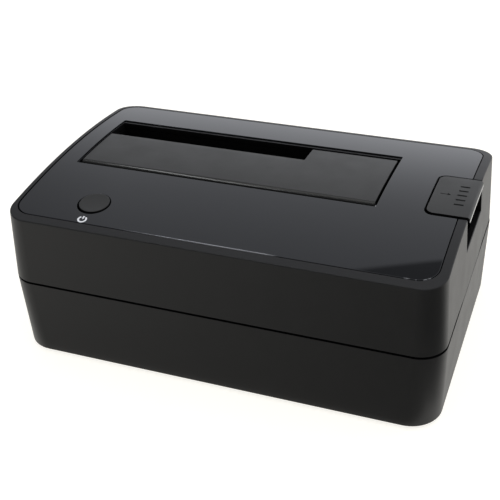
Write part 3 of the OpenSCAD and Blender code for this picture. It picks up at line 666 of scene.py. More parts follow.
def upper_case():
    s = Shape()
    f = 0.2
    right = [-33, -29, -25, -21, -17, -13, NOTCH_Y0 - f, NOTCH_Y0 - 0.293 * f, NOTCH_Y0, -6, -2, 2, 6, 10, 13.5,
             NOTCH_Y1, NOTCH_Y1 + 0.293 * f, NOTCH_Y1 + f, 20, 24, 28, 32]
    left = [33 - 3 * k for k in range(23)]
    back = [48, 24, 0, -24, -48]
    front = back[::-1]
    st = (right, back, left, front)
    base, nrm = rounded(CASE_HX, CASE_HY, CORNER, *st)
    n = len(base)

    def leaned(p, z):
        # the right-hand wall leans in a little more than the others and stands in a little at the seam, less below its notch
        p = p.copy()
        a, b = np.clip((base[:, 1] + 24.0) / 13.0, 0.0, 1.0), np.clip((base[:, 1] - 11.0) / 12.0, 0.0, 1.0)
        out = a * a * (3.0 - 2.0 * a) * (1.0 - b * b * (3.0 - 2.0 * b))
        high = (z - UP_Z0) / 26.0
        p[:, 0] -= (0.38 * high + (0.26 - 0.19 * out) * (1.0 - high)) * np.clip(base[:, 0] / 62.0, 0.0, 1.0)
        return p

    def wall(z, inset=0.0):
        return np.concatenate([leaned(base - nrm * (KU * (z - UP_Z0) + inset), z), np.full((n, 1), float(z))], 1)

    def wall_crown(dz, inset=0.0):
        z = np.full(n, 54.0)
        for _ in range(5):
            p = leaned(base - nrm * (KU * (z - UP_Z0) + inset)[:, None], z)
            z = crown(p[:, 1]) + dz
        return np.concatenate([p, z[:, None]], 1)

    def flat(grow, dz, r=REC_R):
        hx, hy = (REC_X1 - REC_X0) / 2, (REC_Y1 - REC_Y0) / 2
        p = rounded(hx + grow, hy + grow, r + grow, *st, cx=(REC_X0 + REC_X1) / 2, cy=(REC_Y0 + REC_Y1) / 2)[0]
        return np.concatenate([p, (crown(p[:, 1]) + dz)[:, None]], 1)

    fl = 0.40
    prof = [wall(UP_Z0, 0.08), wall(UP_Z0 + 0.024, 0.024), wall(UP_Z0 + 0.08), wall(36.0), wall(NOTCH_Z - f)]
    k0 = len(prof)
    prof += [wall(NOTCH_Z), wall(48.0)]
    for th in (0, 18, 36, 54, 72, 90):
        t = math.radians(th)
        prof.append(wall_crown(-fl * (1 - math.sin(t)), fl * (1 - math.cos(t))))
    prof += [flat(0.12, 0.0), flat(0.06, -0.016), flat(0.016, -0.06), flat(0.0, -0.12)]
    kr = len(prof) - 1
    prof += [flat(0.0, -PLATE_T), flat(-3.0, -PLATE_T), flat(-3.0, -PLATE_T - 2.0)]
    prof.append(wall_crown(-PLATE_T - 2.0, 2.0))
    k1 = len(prof)
    prof += [wall(NOTCH_Z, 2.0), wall(30.1, 2.0)]
    reb = rounded(CASE_HX - 1.0, CASE_HY - 1.0, CORNER - 1.0, *st)[0]
    prof += [np.concatenate([reb, np.full((n, 1), 30.1)], 1), np.concatenate([reb, np.full((n, 1), UP_Z0)], 1)]
    V = np.array(prof)
    inset = np.zeros(n)
    for i, y in enumerate(right):
        if NOTCH_Y0 <= y <= NOTCH_Y1:
            inset[i] = f
        elif abs(y - (NOTCH_Y0 - 0.293 * f)) < 1e-6 or abs(y - (NOTCH_Y1 + 0.293 * f)) < 1e-6:
            inset[i] = 0.293 * f
    K = len(V)
    W = V.copy()
    for i in range(len(right)):
        if inset[i] > 0:
            for k in range(k0, k1 + 1):
                a, b, c = V[k - 1, i][[0, 2]], V[k, i][[0, 2]], V[(k + 1) % K, i][[0, 2]]
                e0, e1 = (b - a) / np.linalg.norm(b - a), (c - b) / np.linalg.norm(c - b)
                n0, n1 = np.array([e0[1], -e0[0]]), np.array([e1[1], -e1[0]])
                if k in (k0, k1):
                    off = np.array([1.0 if k == k0 else -1.0, 0.0])
                else:
                    off = (n0 + n1) / (1 + n0 @ n1)
                W[k, i][[0, 2]] = b - off * inset[i]
    idx = [s.add(W[k]) for k in range(K)]
    notch = {i for i, y in enumerate(right) if NOTCH_Y0 - 1e-6 <= y <= NOTCH_Y1 + 1e-6}
    for k in range(K):
        k2 = (k + 1) % K
        for i in range(n):
            j = (i + 1) % n
            if k0 <= k < k1 and i in notch and j in notch:
                continue
            # painted shade inside the joints: the recess under the plate and the seam are near-black
            s.m = 1 if k >= kr else 0
            s.face([idx[k][i], idx[k][j], idx[k2][j], idx[k2][i]])
    # painted shade: the cut faces of the notch are near-black
    s.m = 1
    lo, hi = min(notch), max(notch)
    s.face([idx[k][lo] for k in range(k0, k1 + 1)])
    s.face([idx[k][hi] for k in range(k1, k0 - 1, -1)])
    for i in range(lo, hi):
        s.face([idx[k0][i], idx[k0][i + 1], idx[k1][i + 1], idx[k1][i]])
    s.m = 0
    # deck under the plate
    deck_out = [(66.0, -40.3), (66.0, NOTCH_Y0), (CUT_X, NOTCH_Y0), (CUT_X, NOTCH_Y1), (66.0, NOTCH_Y1), (66.0, 40.3), (-66.0, 40.3), (-66.0, -40.3)]
    deck_rad = [4.2, 0.2, 3.0, 3.0, 0.2, 4.2, 4.2, 4.2]
    bay = [(-62.0, -9.7), (41.7, -9.7), (41.7, 26.0), (-62.0, 26.0)]
    deck, _ = crowned_sheet(lambda o: corners(deck_out, deck_rad, o), [lambda o: corners(bay, [0.3] * 4, -o, 3),
                            lambda o: np.array(circle(BUT_X, BUT_Y, 10.9 + 2 * o, 40))], -PLATE_T - 0.02, 1.96, 0.1, dx=8, dy=3, step=3)
    off = len(s.v)
    s.v += deck.v
    s.f += [[i + off for i in q] for q in deck.f]
    # the deck's top takes the lighter grey of painted light, the faces below it the near-black of painted shade
    for q in deck.f:
        high = min(deck.v[i][2] - float(crown(deck.v[i][1])) for i in q)
        s.mat.append(2 if high > -PLATE_T - 0.1 else 1)
    # the bosses and hinge blocks under the deck take the same near-black of painted shade
    s.m = 1
    # bosses under the deck
    for sx in (-1, 1):
        for sy in (-1, 1):
            tube(s, 61 * sx, 36.5 * sy, 28.0, 50.6, 7.0, 2.5)
    for x, y in ((-30, -15.5), (20, -15.5), (-30, 32), (20, 32)):
        tube(s, x, y, 45.0, float(crown(y)) - 1.9, 6.0, 2.1)
    for x, y in ((58, -15), (58, 22.4)):
        tube(s, x, y, 48.0, float(crown(y)) - 1.9, 6.0, 2.1)
    for x in (BUT_X - 9.1, BUT_X + 9.1):
        tube(s, x, BUT_Y, 41.8, float(crown(BUT_Y)) - 1.9, 5.0, 1.7)
    for x0, x1 in ((-66.2, -62.1), (41.8, 45.9)):
        block(s, x0, HINGE_Y - 3, HINGE_Z - 3, x1, HINGE_Y + 3, HINGE_Z + 0.6, 0.3)
    return place(s.mesh("upper_shell"), "upper_shell", "case", [CASE, INNER_BLACK_SHADE, DECK_PAINTED_LIGHT])


# ---------------------------------------------------------------- lower shell

def lower_case():
    s = Shape()
    out_b = [-9.0, -23.0, -34.6, -45.4]
    in_b = [-9.5, -22.5, -35.1, -44.9]
    left = [20, -20]
    right = [-20, 20]
    front = [-40, 0, 40]

    def outer(z, inset=0.0):
        t = (z - BASE_Z) / (LOW_Z1 - BASE_Z)
        dx, dy = 0.55 * (1 - t) + inset, 0.25 * (1 - t) + inset
        r = 10.3 + (8.75 - 10.3) * t - inset
        p = rounded(71.65 - dx, 45.85 - dy, r, right, out_b, left, front)[0].copy()
        p[:, 0] -= 0.10 * t * np.clip(p[:, 0] / 62.0, 0.0, 1.0)
        return np.concatenate([p, np.full((len(p), 1), float(z))], 1)

    def inner(z, hx, hy, r):
        p = rounded(hx, hy, r, right, in_b, left, front)[0]
        return np.concatenate([p, np.full((len(p), 1), float(z))], 1)

    def cavity(z, inset=0.0):
        t = (z - FLOOR_Z) / (LOW_Z1 - FLOOR_Z)
        return inner(z, 68.9 + 0.3 * t - inset, 43.2 + 0.3 * t - inset, 8.3 - 1.7 * t - inset)

    fb = 0.4
    rows = [outer(BASE_Z, fb)]
    for th in (22, 45, 67, 90):
        t = math.radians(th)
        rows.append(outer(BASE_Z + fb * (1 - math.cos(t)), fb * (1 - math.sin(t))))
    o0 = len(rows)
    rows += [outer(6.2), outer(18.9), outer(19.5), outer(LOW_Z1 - 0.08), outer(LOW_Z1 - 0.024, 0.024), outer(LOW_Z1, 0.08)]
    k_land = len(rows) - 1
    rows += [inner(LOW_Z1, 70.2, 44.5, 7.6), inner(29.6, 70.2, 44.5, 7.6), inner(29.9, 69.95, 44.25, 7.35), inner(29.9, 69.2, 43.5, 6.6)]
    i0 = len(rows)
    rows += [cavity(19.0), cavity(18.4), cavity(6.7), cavity(3.7), cavity(3.3, 0.2), cavity(FLOOR_Z, 0.5)]
    idx = [s.add(r) for r in rows]
    n = len(idx[0])
    # places of the socket windows along a row
    first = len(right) + 15
    b = [first + k for k in range(4)]
    usb, dc = (b[0], b[1]), (b[2], b[3])
    skip = {(o0, usb[0]), (o0 + 1, usb[0]), (o0, dc[0]), (i0, usb[0]), (i0 + 1, usb[0]), (i0 + 1, dc[0])}
    for k in range(len(rows) - 1):
        for i in range(n):
            if (k, i) in skip:
                continue
            j = (i + 1) % n
            # painted shade: the land and tongue in the seam are near-black
            s.m = 1 if k in (k_land, k_land + 1, k_land + 2) else 0
            s.face([idx[k][i], idx[k][j], idx[k + 1][j], idx[k + 1][i]])
    s.m = 0

    def window(loop_out, loop_in, x0, x1, z0, z1, zs):
        mouth = []
        for k in loop_out:
            x, y, z = s.v[k]
            zz = z0 if z < z0 + 1e-6 else zs.get(round(z, 3), z1)
            mouth.append((x0 if abs(x - x0) < abs(x - x1) else x1, y - 0.5, zz))
        m = s.add(mouth)
        s.strip(loop_out, m)
        s.strip(m, loop_in)

    r = idx
    window([r[o0][usb[0]], r[o0 + 1][usb[0]], r[o0 + 2][usb[0]], r[o0 + 2][usb[1]], r[o0 + 1][usb[1]], r[o0][usb[1]]],
           [r[i0 + 2][usb[0]], r[i0 + 1][usb[0]], r[i0][usb[0]], r[i0][usb[1]], r[i0 + 1][usb[1]], r[i0 + 2][usb[1]]],
           -9.5, -22.5, 6.7, 19.0, {18.9: 18.4})
    window([r[o0][dc[0]], r[o0 + 1][dc[0]], r[o0 + 1][dc[1]], r[o0][dc[1]]],
           [r[i0 + 2][dc[0]], r[i0 + 1][dc[0]], r[i0 + 1][dc[1]], r[i0 + 2][dc[1]]],
           -35.1, -44.9, 6.7, 18.4, {})
    # underside and floor, with wells, feet seats, slots and standoffs between them
    wells = [(61 * sx, 36.5 * sy) for sx in (-1, 1) for sy in (-1, 1)]
    feet = [(46 * sx, 35 * sy) for sx in (-1, 1) for sy in (-1, 1)]
    stands = [(-53, -20.5), (-5.5, -20.5), (-53, 30.5), (-5.5, 30.5)]
    slots = [[(7 + 6 * i, -26), (9.2 + 6 * i, -26), (9.2 + 6 * i, -6), (7 + 6 * i, -6)] for i in range(7)]

    def slot(q, grow):
        return corners(q, [1.05] * 4, -grow, 5)

    def ring(pts, z):
        return s.add([(p[0], p[1], z) for p in pts])

    low = [np.array(rows[0])[:, :2]] + [np.array(circle(*p, 7.0)) for p in wells] + [np.array(circle(*p, 10.8, 40)) for p in feet] + [slot(q, 0.4) for q in slots]
    pts, tris = fill(low)
    lo = idx[0] + s.add([(p[0], p[1], BASE_Z) for p in pts[n:]])
    for t in tris:
        s.face([lo[k] for k in t])
    up = [np.array(rows[-1])[:, :2]] + [np.array(circle(*p, 8.0)) for p in wells] + [np.array(circle(*p, 6.0)) for p in stands] + [slot(q, 0.0) for q in slots]
    upts, utris = fill(up)
    hi = idx[-1] + s.add([(p[0], p[1], FLOOR_Z) for p in upts[n:]])
    for t in utris:
        s.face([hi[k] for k in t])
    a, c = n, n
    for p in wells:
        lower, upper = lo[a:a + 32], hi[c:c + 32]
        a, c = a + 32, c + 32
        chain = [upper, ring(circle(*p, 8.0), 27.7), ring(circle(*p, 7.4), 28.0), ring(circle(*p, 3.9), 28.0), ring(circle(*p, 3.4), 27.75),
                 ring(circle(*p, 3.4), 16.0), ring(circle(*p, 6.2), 16.0), ring(circle(*p, 6.2), 1.6), lower]
        for q, w in zip(chain, chain[1:]):
            s.strip(q, w)
    for p in feet:
        lower = lo[a:a + 40]
        a += 40
        mid, end = ring(circle(*p, 10.4, 40), 1.4), ring(circle(*p, 10.4, 40), 2.0)
        s.strip(lower, mid)
        s.strip(mid, end)
        s.face(end)
    for p in stands:
        upper = hi[c:c + 32]
        c += 32
        chain = [upper, ring(circle(*p, 6.0), 5.2), ring(circle(*p, 5.6), 5.4), ring(circle(*p, 2.4), 5.4), ring(circle(*p, 2.1), 5.2), ring(circle(*p, 2.1), 2.2)]
        for q, w in zip(chain, chain[1:]):
            s.strip(q, w)
        s.face(chain[-1])
    for q in slots:
        m = len(slot(q, 0))
        lower, upper = lo[a:a + m], hi[c:c + m]
        a, c = a + m, c + m
        mid = ring(slot(q, 0.0), 1.6)
        s.strip(lower, mid)
        s.strip(mid, upper)
    return place(s.mesh("lower_shell"), "lower_shell", "case", [CASE, INNER_BLACK_SHADE])


# ---------------------------------------------------------------- top plate, keys, flap

def plate_outline(o):
    x0, x1, y0, y1, r = REC_X0 + 0.55, REC_X1 - 0.3, REC_Y0 + 0.25, REC_Y1 - 0.2, REC_R - 0.25
    pts = [(x1, y0), (x1, NOTCH_Y0), (CUT_X, NOTCH_Y0), (CUT_X, NOTCH_Y1), (x1, NOTCH_Y1), (x1, y1), (x0, y1), (x0, y0)]
    return corners(pts, [r, 0.5, 3.0, 3.0, 0.5, r, r, r], o, 10)


def top_plate():
    bay = [(BAY_X0, BAY_Y0), (BAY_X1, BAY_Y0), (BAY_X1, BAY_Y1), (BAY_X0, BAY_Y1)]
    s, nr = crowned_sheet(plate_outline, [lambda o: corners(bay, [0.5] * 4, -o, 5), lambda o: np.array(circle(BUT_X, BUT_Y, 10.8 + 2 * o, 72))],
                          0.0, PLATE_T - 0.05, 0.14, dx=4.0, dy=2.0)
    return place_sheet(s, nr, "gloss_plate", "case", [PLATE])


def standby_mark():
    """Printed ring with a gap and a bar, on the plate in front of the key."""
    s = Shape()
    cx, cy, r, w = -44.2, -39.55, 1.28, 0.58

    def band(path):
        n = len(path)
        left, right = [], []
        for i in range(n):
            t = np.array(path[min(i + 1, n - 1)]) - np.array(path[max(i - 1, 0)])
            t = t / np.linalg.norm(t)
            q = np.array([-t[1], t[0]]) * w / 2
            left.append(np.array(path[i]) + q)
            right.append(np.array(path[i]) - q)
        loop = left + right[::-1]
        top = s.add([(p[0], p[1], float(crown(p[1])) + 0.012) for p in loop])
        bot = s.add([(p[0], p[1], float(crown(p[1])) - 0.02) for p in loop])
        s.strip(top, bot)
        m = len(path)
        for i in range(m - 1):
            s.face([top[i], top[i + 1], top[2 * m - 2 - i], top[2 * m - 1 - i]])
            s.face([bot[i], bot[2 * m - 1 - i], bot[2 * m - 2 - i], bot[i + 1]])

    band([(cx + r * math.cos(math.radians(a)), cy + r * math.sin(math.radians(a))) for a in np.linspace(90 + 38, 450 - 38, 41)])
    band([(cx, cy + 0.3 + 0.25 * k) for k in range(6)])
    return place(s.mesh("standby_mark"), "standby_mark", "case", [PRINT], weighted=False)


def power_button():
    s = Shape()
    z = float(crown(BUT_Y))

    def tilt(x, y):
        return float(crown(y)) - z

    top = z + 0.42
    e = 0.10
    prof = [(0, top - 0.16), (1.5, top - 0.15), (3.0, top - 0.11), (4.0, top - 0.05), (4.5, top - 0.01)]
    for th in (0, 20, 40, 60, 80, 90):
        t = math.radians(th)
        prof.append((4.9 - e * (1 - math.sin(t)), top - e * (1 - math.cos(t))))
    tilted = prof + [(4.9, 50.0)]
    rings = []
    n = 72
    for r, h in tilted:
        rings.append(s.add([(x, y, h + tilt(x, y)) for x, y in circle(BUT_X + 0.2, BUT_Y, 2 * r, n)]) if r > 0 else s.add([(BUT_X + 0.2, BUT_Y, h)]))
    for i in range(n):
        s.face([rings[0][0], rings[1][i], rings[1][(i + 1) % n]])
    for a, b in zip(rings[1:-1], rings[2:-1]):
        s.strip(a, b)
    # painted shade: the cap's side and flange are near-black
    s.m = 1
    s.strip(rings[-2], rings[-1])
    flange = [(5.0, 48.9), (5.2, 48.8), (5.9, 48.8), (6.1, 48.6), (6.1, 47.8), (5.9, 47.6), (2.4, 47.6), (2.2, 47.4), (2.2, 47.3), (2.0, 47.1)]
    last = rings[-1]
    for r, h in flange:
        cur = s.add([(x, y, h) for x, y in circle(BUT_X, BUT_Y, 2 * r, n)])
        s.strip(last, cur)
        last = cur
    s.face(last[::-1])
    return place(s.mesh("power_cap"), "power_cap", "power_key", [KEY, INNER_BLACK_SHADE])


def eject_button():
    x1, rad = 70.76, 1.3
    turn = x1 - rad * math.sin(math.radians(70))
    pts = [(KEY_X0, KEY_Y0), (x1, KEY_Y0), (x1, KEY_Y1), (KEY_X0, KEY_Y1)]

    def outline(o):
        return corners(pts, [2.5, 0.5, 0.5, 2.5], o, 8)

    def bar(i):
        q = [(64.4, -2.6 + 3 * i), (67.4, -2.6 + 3 * i), (67.4, -1.8 + 3 * i), (64.4, -1.8 + 3 * i)]
        return lambda o: corners(q, [0.2] * 4, -o, 4)

    arrow_pts = [(59.2, 3.35), (61.4, 3.35), (61.4, 2.75), (62.5, 3.5), (61.4, 4.25), (61.4, 3.65), (59.2, 3.65)]
    arrow_rad = [0.06, 0.03, 0.06, 0.08, 0.06, 0.03, 0.06]
    pockets = [(bar(i), 0.25) for i in range(5)] + [(lambda o: corners(arrow_pts, arrow_rad, -o, 3), 0.25)]
    def parts(ref, step):
        d = np.abs(np.roll(ref, -1, 0) - ref)
        return [max(1, int(math.ceil(max(a[1] / 1.6, a[0] / 0.3)))) for a in d]

    over = [(turn + rad * math.sin(math.radians(a)), KEY_Y0 + 0.5 + 24.2 * k / 20) for a in (0, 12, 24, 36, 46, 54, 60, 64) for k in range(21)]
    # the key's right-facing edge takes the light grey of painted highlight, its other edges below the top fillet the
    # near-black of painted shade
    s, nr = crowned_sheet(outline, [], KEY_PROUD, KEY_PROUD + 1.58, 0.12, pockets, dx=3.0, dy=1.6, step=1.6, fb=0.07,
                          roll=(turn, rad), extra=over, parts_of=parts, edge_mat=lambda d: 2 if d[0] > 1.4 else 3, sink=(KEY_Y0, KEY_Y1, 0.24))
    key = place_sheet(s, nr, "eject_key_top", "eject_key", [KEY, DEBOSS, KEY_EDGE_HIGHLIGHT, INNER_BLACK_SHADE])
    q = Shape()
    for y in POST_YS:
        lathe(q, POST_X, y, [(0, 35.8), (1.75, 35.8), (2.0, 36.05), (2.0, 37.1), (1.8, 37.3), (1.5, 37.3), (1.5, 38.2), (1.8, 38.2), (2.0, 38.4),
                             (2.0, 53.3), (0, 53.3)])
    block(q, POST_X - 1, 4.2, 16.4, POST_X + 1, 7.8, 53.4, 0.2)
    block(q, 65.0, KEY_Y0 + 0.6, 42.4, 66.2, KEY_Y1 - 0.6, 53.4, 0.2)
    # the legs and the skirt seen through the notch are near-black, painted shade
    legs = place(q.mesh("eject_key_legs"), "eject_key_legs", "eject_key", [INNER_BLACK_SHADE])
    return key, legs


def drive_flap():
    s = Shape()
    e, fr = 0.25, 0.35

    def section(rear, extra):
        """Front roll and sheet up to the shorter rear edge, then what lies behind it."""
        a1 = 360 + math.degrees(math.asin((float(crown(HINGE_Y + FLAP_R)) - FLAP_LOW - HINGE_Z) / FLAP_R))
        f1 = [(HINGE_Y + NOSE_R * math.cos(math.radians(a)), HINGE_Z + FLAP_R - NOSE_R + NOSE_R * math.sin(math.radians(a))) for a in np.linspace(90, 180, 15)]
        f1 += [(HINGE_Y - NOSE_R, HINGE_Z + 0.8), (HINGE_Y - NOSE_R - 0.12, HINGE_Z + 0.66)]
        f1 += [(HINGE_Y + FLAP_R * math.cos(math.radians(a)), HINGE_Z + FLAP_R * math.sin(math.radians(a))) for a in np.linspace(164.5, a1, 24)]
        yc = SLOT_Y - fr
        f1 += [(y, float(crown(y)) - FLAP_LOW) for y in (-3, 0, 3, 6, 9, 12, yc)]
        mid = []
        if extra:
            mid += [(y, float(crown(y)) - FLAP_LOW) for y in (SLOT_Y + 0.4, 18, 21, rear - fr)]
        for th in (30, 60, 90):
            t = math.radians(th)
            y = rear - fr * (1 - math.sin(t))
            mid.append((y, float(crown(y)) - FLAP_LOW + fr * (1 - math.cos(t))))
        for th in (90, 60, 30):
            t = math.radians(th)
            y = rear - fr * (1 - math.sin(t))
            mid.append((y, float(crown(y)) - FLAP_TOP - fr * (1 - math.cos(t))))
        if extra:
            mid += [(y, float(crown(y)) - FLAP_TOP) for y in (rear - fr, 21, 18, SLOT_Y + 0.4)]
        f2 = [(y, float(crown(y)) - FLAP_TOP) for y in (yc, 12, 9, 6, 3, 0, -3, -5)]
        return f1, mid, f2

    def shrink(loop, d):
        P = np.array(loop)
        a, c = np.roll(P, 1, 0), np.roll(P, -1, 0)
        e0, e1 = P - a, c - P
        e0 /= np.linalg.norm(e0, axis=1)[:, None]
        e1 /= np.linalg.norm(e1, axis=1)[:, None]
        n0, n1 = np.stack([e0[:, 1], -e0[:, 0]], 1), np.stack([e1[:, 1], -e1[:, 0]], 1)
        k = np.maximum(1 + (n0 * n1).sum(1), 0.5)[:, None]
        return P - d * (n0 + n1) / k

    f1, ma, f2 = section(SLOT_Y, False)
    _, mb, _ = section(FLAP_Y1, True)
    na, nb, n1, n2 = len(ma), len(mb), len(f1), len(f2)
    A, B = f1 + ma + f2, f1 + mb + f2

    def ring(loop, x, d):
        return s.add([(x, p[0], p[1]) for p in (shrink(loop, d) if d else loop)])

    # left part with the shorter sheet
    rows = [ring(A, FLAP_X0, e), ring(A, FLAP_X0 + 0.293 * e, 0.293 * e), ring(A, FLAP_X0 + e, 0)] + [ring(A, x, 0) for x in (-45, -30, -15, 0)]
    last = ring(A, SLOT_X, 0)
    rows.append(last)

    def skin(rows):
        for a, b in zip(rows, rows[1:]):
            first = len(s.f)
            s.strip(a, b)
            # the nose is smoother than the rest
            for i in range(14):
                s.mat[first + i] = 1

    skin(rows)
    # right part: its front is shared with the left part
    mb0 = shrink(B, e)[n1:n1 + nb]
    mid0 = s.add([(SLOT_X, p[0], p[1]) for p in mb0])
    start = last[:n1] + mid0 + last[n1 + na:]
    mb1 = shrink(B, 0.293 * e)[n1:n1 + nb]
    ring1 = s.add([(SLOT_X + 0.293 * e, p[0], p[1]) for p in list(f1) + [tuple(q) for q in mb1] + list(f2)])
    rows = [start, ring1, ring(B, SLOT_X + e, 0)] + [ring(B, x, 0) for x in (20, 30)] + \
           [ring(B, FLAP_X1 - e, 0), ring(B, FLAP_X1 - 0.293 * e, 0.293 * e), ring(B, FLAP_X1, e)]
    skin(rows)
    s.face([last[n1 - 1]] + mid0 + [last[n1 + na]] + last[n1:n1 + na][::-1])
    right_end = rows[-1]
    left_end = s.f[0][0]
    # ends, with the pin's bore between them
    bore = [(HINGE_Y + 1.05 * math.cos(2 * math.pi * k / 24), HINGE_Z + 1.05 * math.sin(2 * math.pi * k / 24)) for k in range(24)]
    tubes = []
    for x, end in ((FLAP_X0, list(range(left_end, left_end + len(A)))), (FLAP_X1, right_end)):
        loop = np.array([(s.v[i][1], s.v[i][2]) for i in end])
        pts, tris = fill([loop, np.array(bore)])
        hole = s.add([(x, p[0], p[1]) for p in bore])
        ids = end + hole
        for t in tris:
            s.face([ids[i] for i in t])
        tubes.append(hole)
    s.strip(tubes[0], tubes[1])
    # ribs and stop lip underneath
    for x in (FLAP_X0 + 3, -36, 6.5, 14, FLAP_X1 - 4.6):
        y1 = FLAP_Y1 - 3 if x > SLOT_X else SLOT_Y - 2
        block(s, x, HINGE_Y + 1.6, HINGE_Z - 1.6, x + 1.6, y1, float(crown(y1)) - FLAP_LOW + 0.2, 0.2)
    zl = float(crown(26.8)) - PLATE_T - 2.1
    block(s, 22, FLAP_Y1 - 4, zl - 1.2, 32, 26.8, zl, 0.2)
    block(s, 22.2, FLAP_Y1 - 3.8, zl - 1.0, 31.8, FLAP_Y1 - 0.5, float(crown(FLAP_Y1 - 0.5)) - FLAP_LOW + 0.2, 0.2)
    return place(s.mesh("bay_flap"), "bay_flap", "flap", [FLAP, NOSE])


def rubber_feet():
    s = Shape()
    for sx in (-1, 1):
        for sy in (-1, 1):
            lathe(s, 46 * sx, 35 * sy, [(0, 0.12), (2.6, 0.10), (3.4, 0.0), (4.2, 0.0), (4.55, 0.08), (4.8, 0.3), (5.0, 0.7), (5.0, 1.9), (4.9, 2.0), (0, 2.0)], 48)
    return place(s.mesh("feet"), "feet", "case", [RUBBER])


def springs():
    """Closing spring of the flap and the two return springs of the eject key."""
    made = []
    coil = Shape()
    rc, per, turns = 1.45, 20, 6
    pts = [(-15, HINGE_Y - rc - 1.0, HINGE_Z - 11), (-15, HINGE_Y - rc - 0.5, HINGE_Z - 6), (-15, HINGE_Y - rc - 0.1, HINGE_Z - 2)]
    for i in range(turns * per + 1):
        a = math.radians(180 + 360 * i / per + 90 * i / (turns * per))
        pts.append((-15 + 10 * i / (turns * per), HINGE_Y + rc * math.cos(a), HINGE_Z + rc * math.sin(a)))
    pts += [(-5, HINGE_Y + 1.0, HINGE_Z - rc), (-5, HINGE_Y + 2.2, HINGE_Z - rc + 0.1), (-5, HINGE_Y + 6, HINGE_Z - 0.9), (-5, HINGE_Y + 11, HINGE_Z - 0.6)]
    wire(coil, pts, 0.5)
    ob = place(coil.mesh("flap_coil"), "flap_coil", None, [STEEL], weighted=False)
    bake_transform(ob)
    made.append(ob)
    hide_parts("flap_spring")
    z0, z1 = 41.4, float(crown(12.5)) - 2.05
    for k, y in enumerate(POST_YS):
        c = Shape()
        pts = []
        for i in range(5 * 24 + 1):
            t = i / (5 * 24)
            a = 2 * math.pi * i / 24
            pts.append((POST_X + 2.75 * math.cos(a), y + 2.75 * math.sin(a), z0 + (z1 - z0) * t))
        wire(c, pts, 0.7)
        ob = place(c.mesh("eject_coil_%d" % k), "eject_coil_%d" % k, "case", [STEEL], weighted=False)
        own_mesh(ob)
        made.append(ob)
    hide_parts("eject_springs")
    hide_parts("eject_springs")
    return made


up = upper_case()
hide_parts("upper_case")
low = lower_case()
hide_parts("lower_case")
plate = top_plate()
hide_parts("top_plate")
mark = standby_mark()
cap = power_button()
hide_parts("power_button")
key, legs = eject_button()
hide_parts("eject_button")
flap = drive_flap()
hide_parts("drive_flap")
feet = rubber_feet()
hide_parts("rubber_feet")
springs()

for name, mat in NODE_MATS.items():
    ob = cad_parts[name]
    ob.data.materials.clear()
    ob.data.materials.append(mat)


# ---------------------------------------------------------------- floor, light, camera

def stage_floor():
    m, nt, b, vec = nodes_of("studio_floor")
    b.inputs["Base Color"].default_value = (0.42, 0.413, 0.39, 1)
    nt.links.new(ramp(nt, noise(nt, vec, 180.0, 2.0), [(0.3, (0.418, 0.411, 0.388)), (0.7, (0.422, 0.415, 0.392))]), b.inputs["Base Color"])
    b.inputs["Emission Color"].default_value = (1.0, 0.98, 0.925, 1)
    b.inputs["Emission Strength"].default_value = 0.85
    b.inputs["Roughness"].default_value = 0.9
    b.inputs["Specular IOR Level"].default_value = 0.0
    me = bpy.data.meshes.new("floor")
    bm = bmesh.new()
    bmesh.ops.create_circle(bm, cap_ends=True, segments=96, radius=6.0)
    bm.to_mesh(me)
    bm.free()
    me.materials.append(m)
    ob = bpy.data.objects.new("floor", me)
    bpy.context.scene.collection.objects.link(ob)


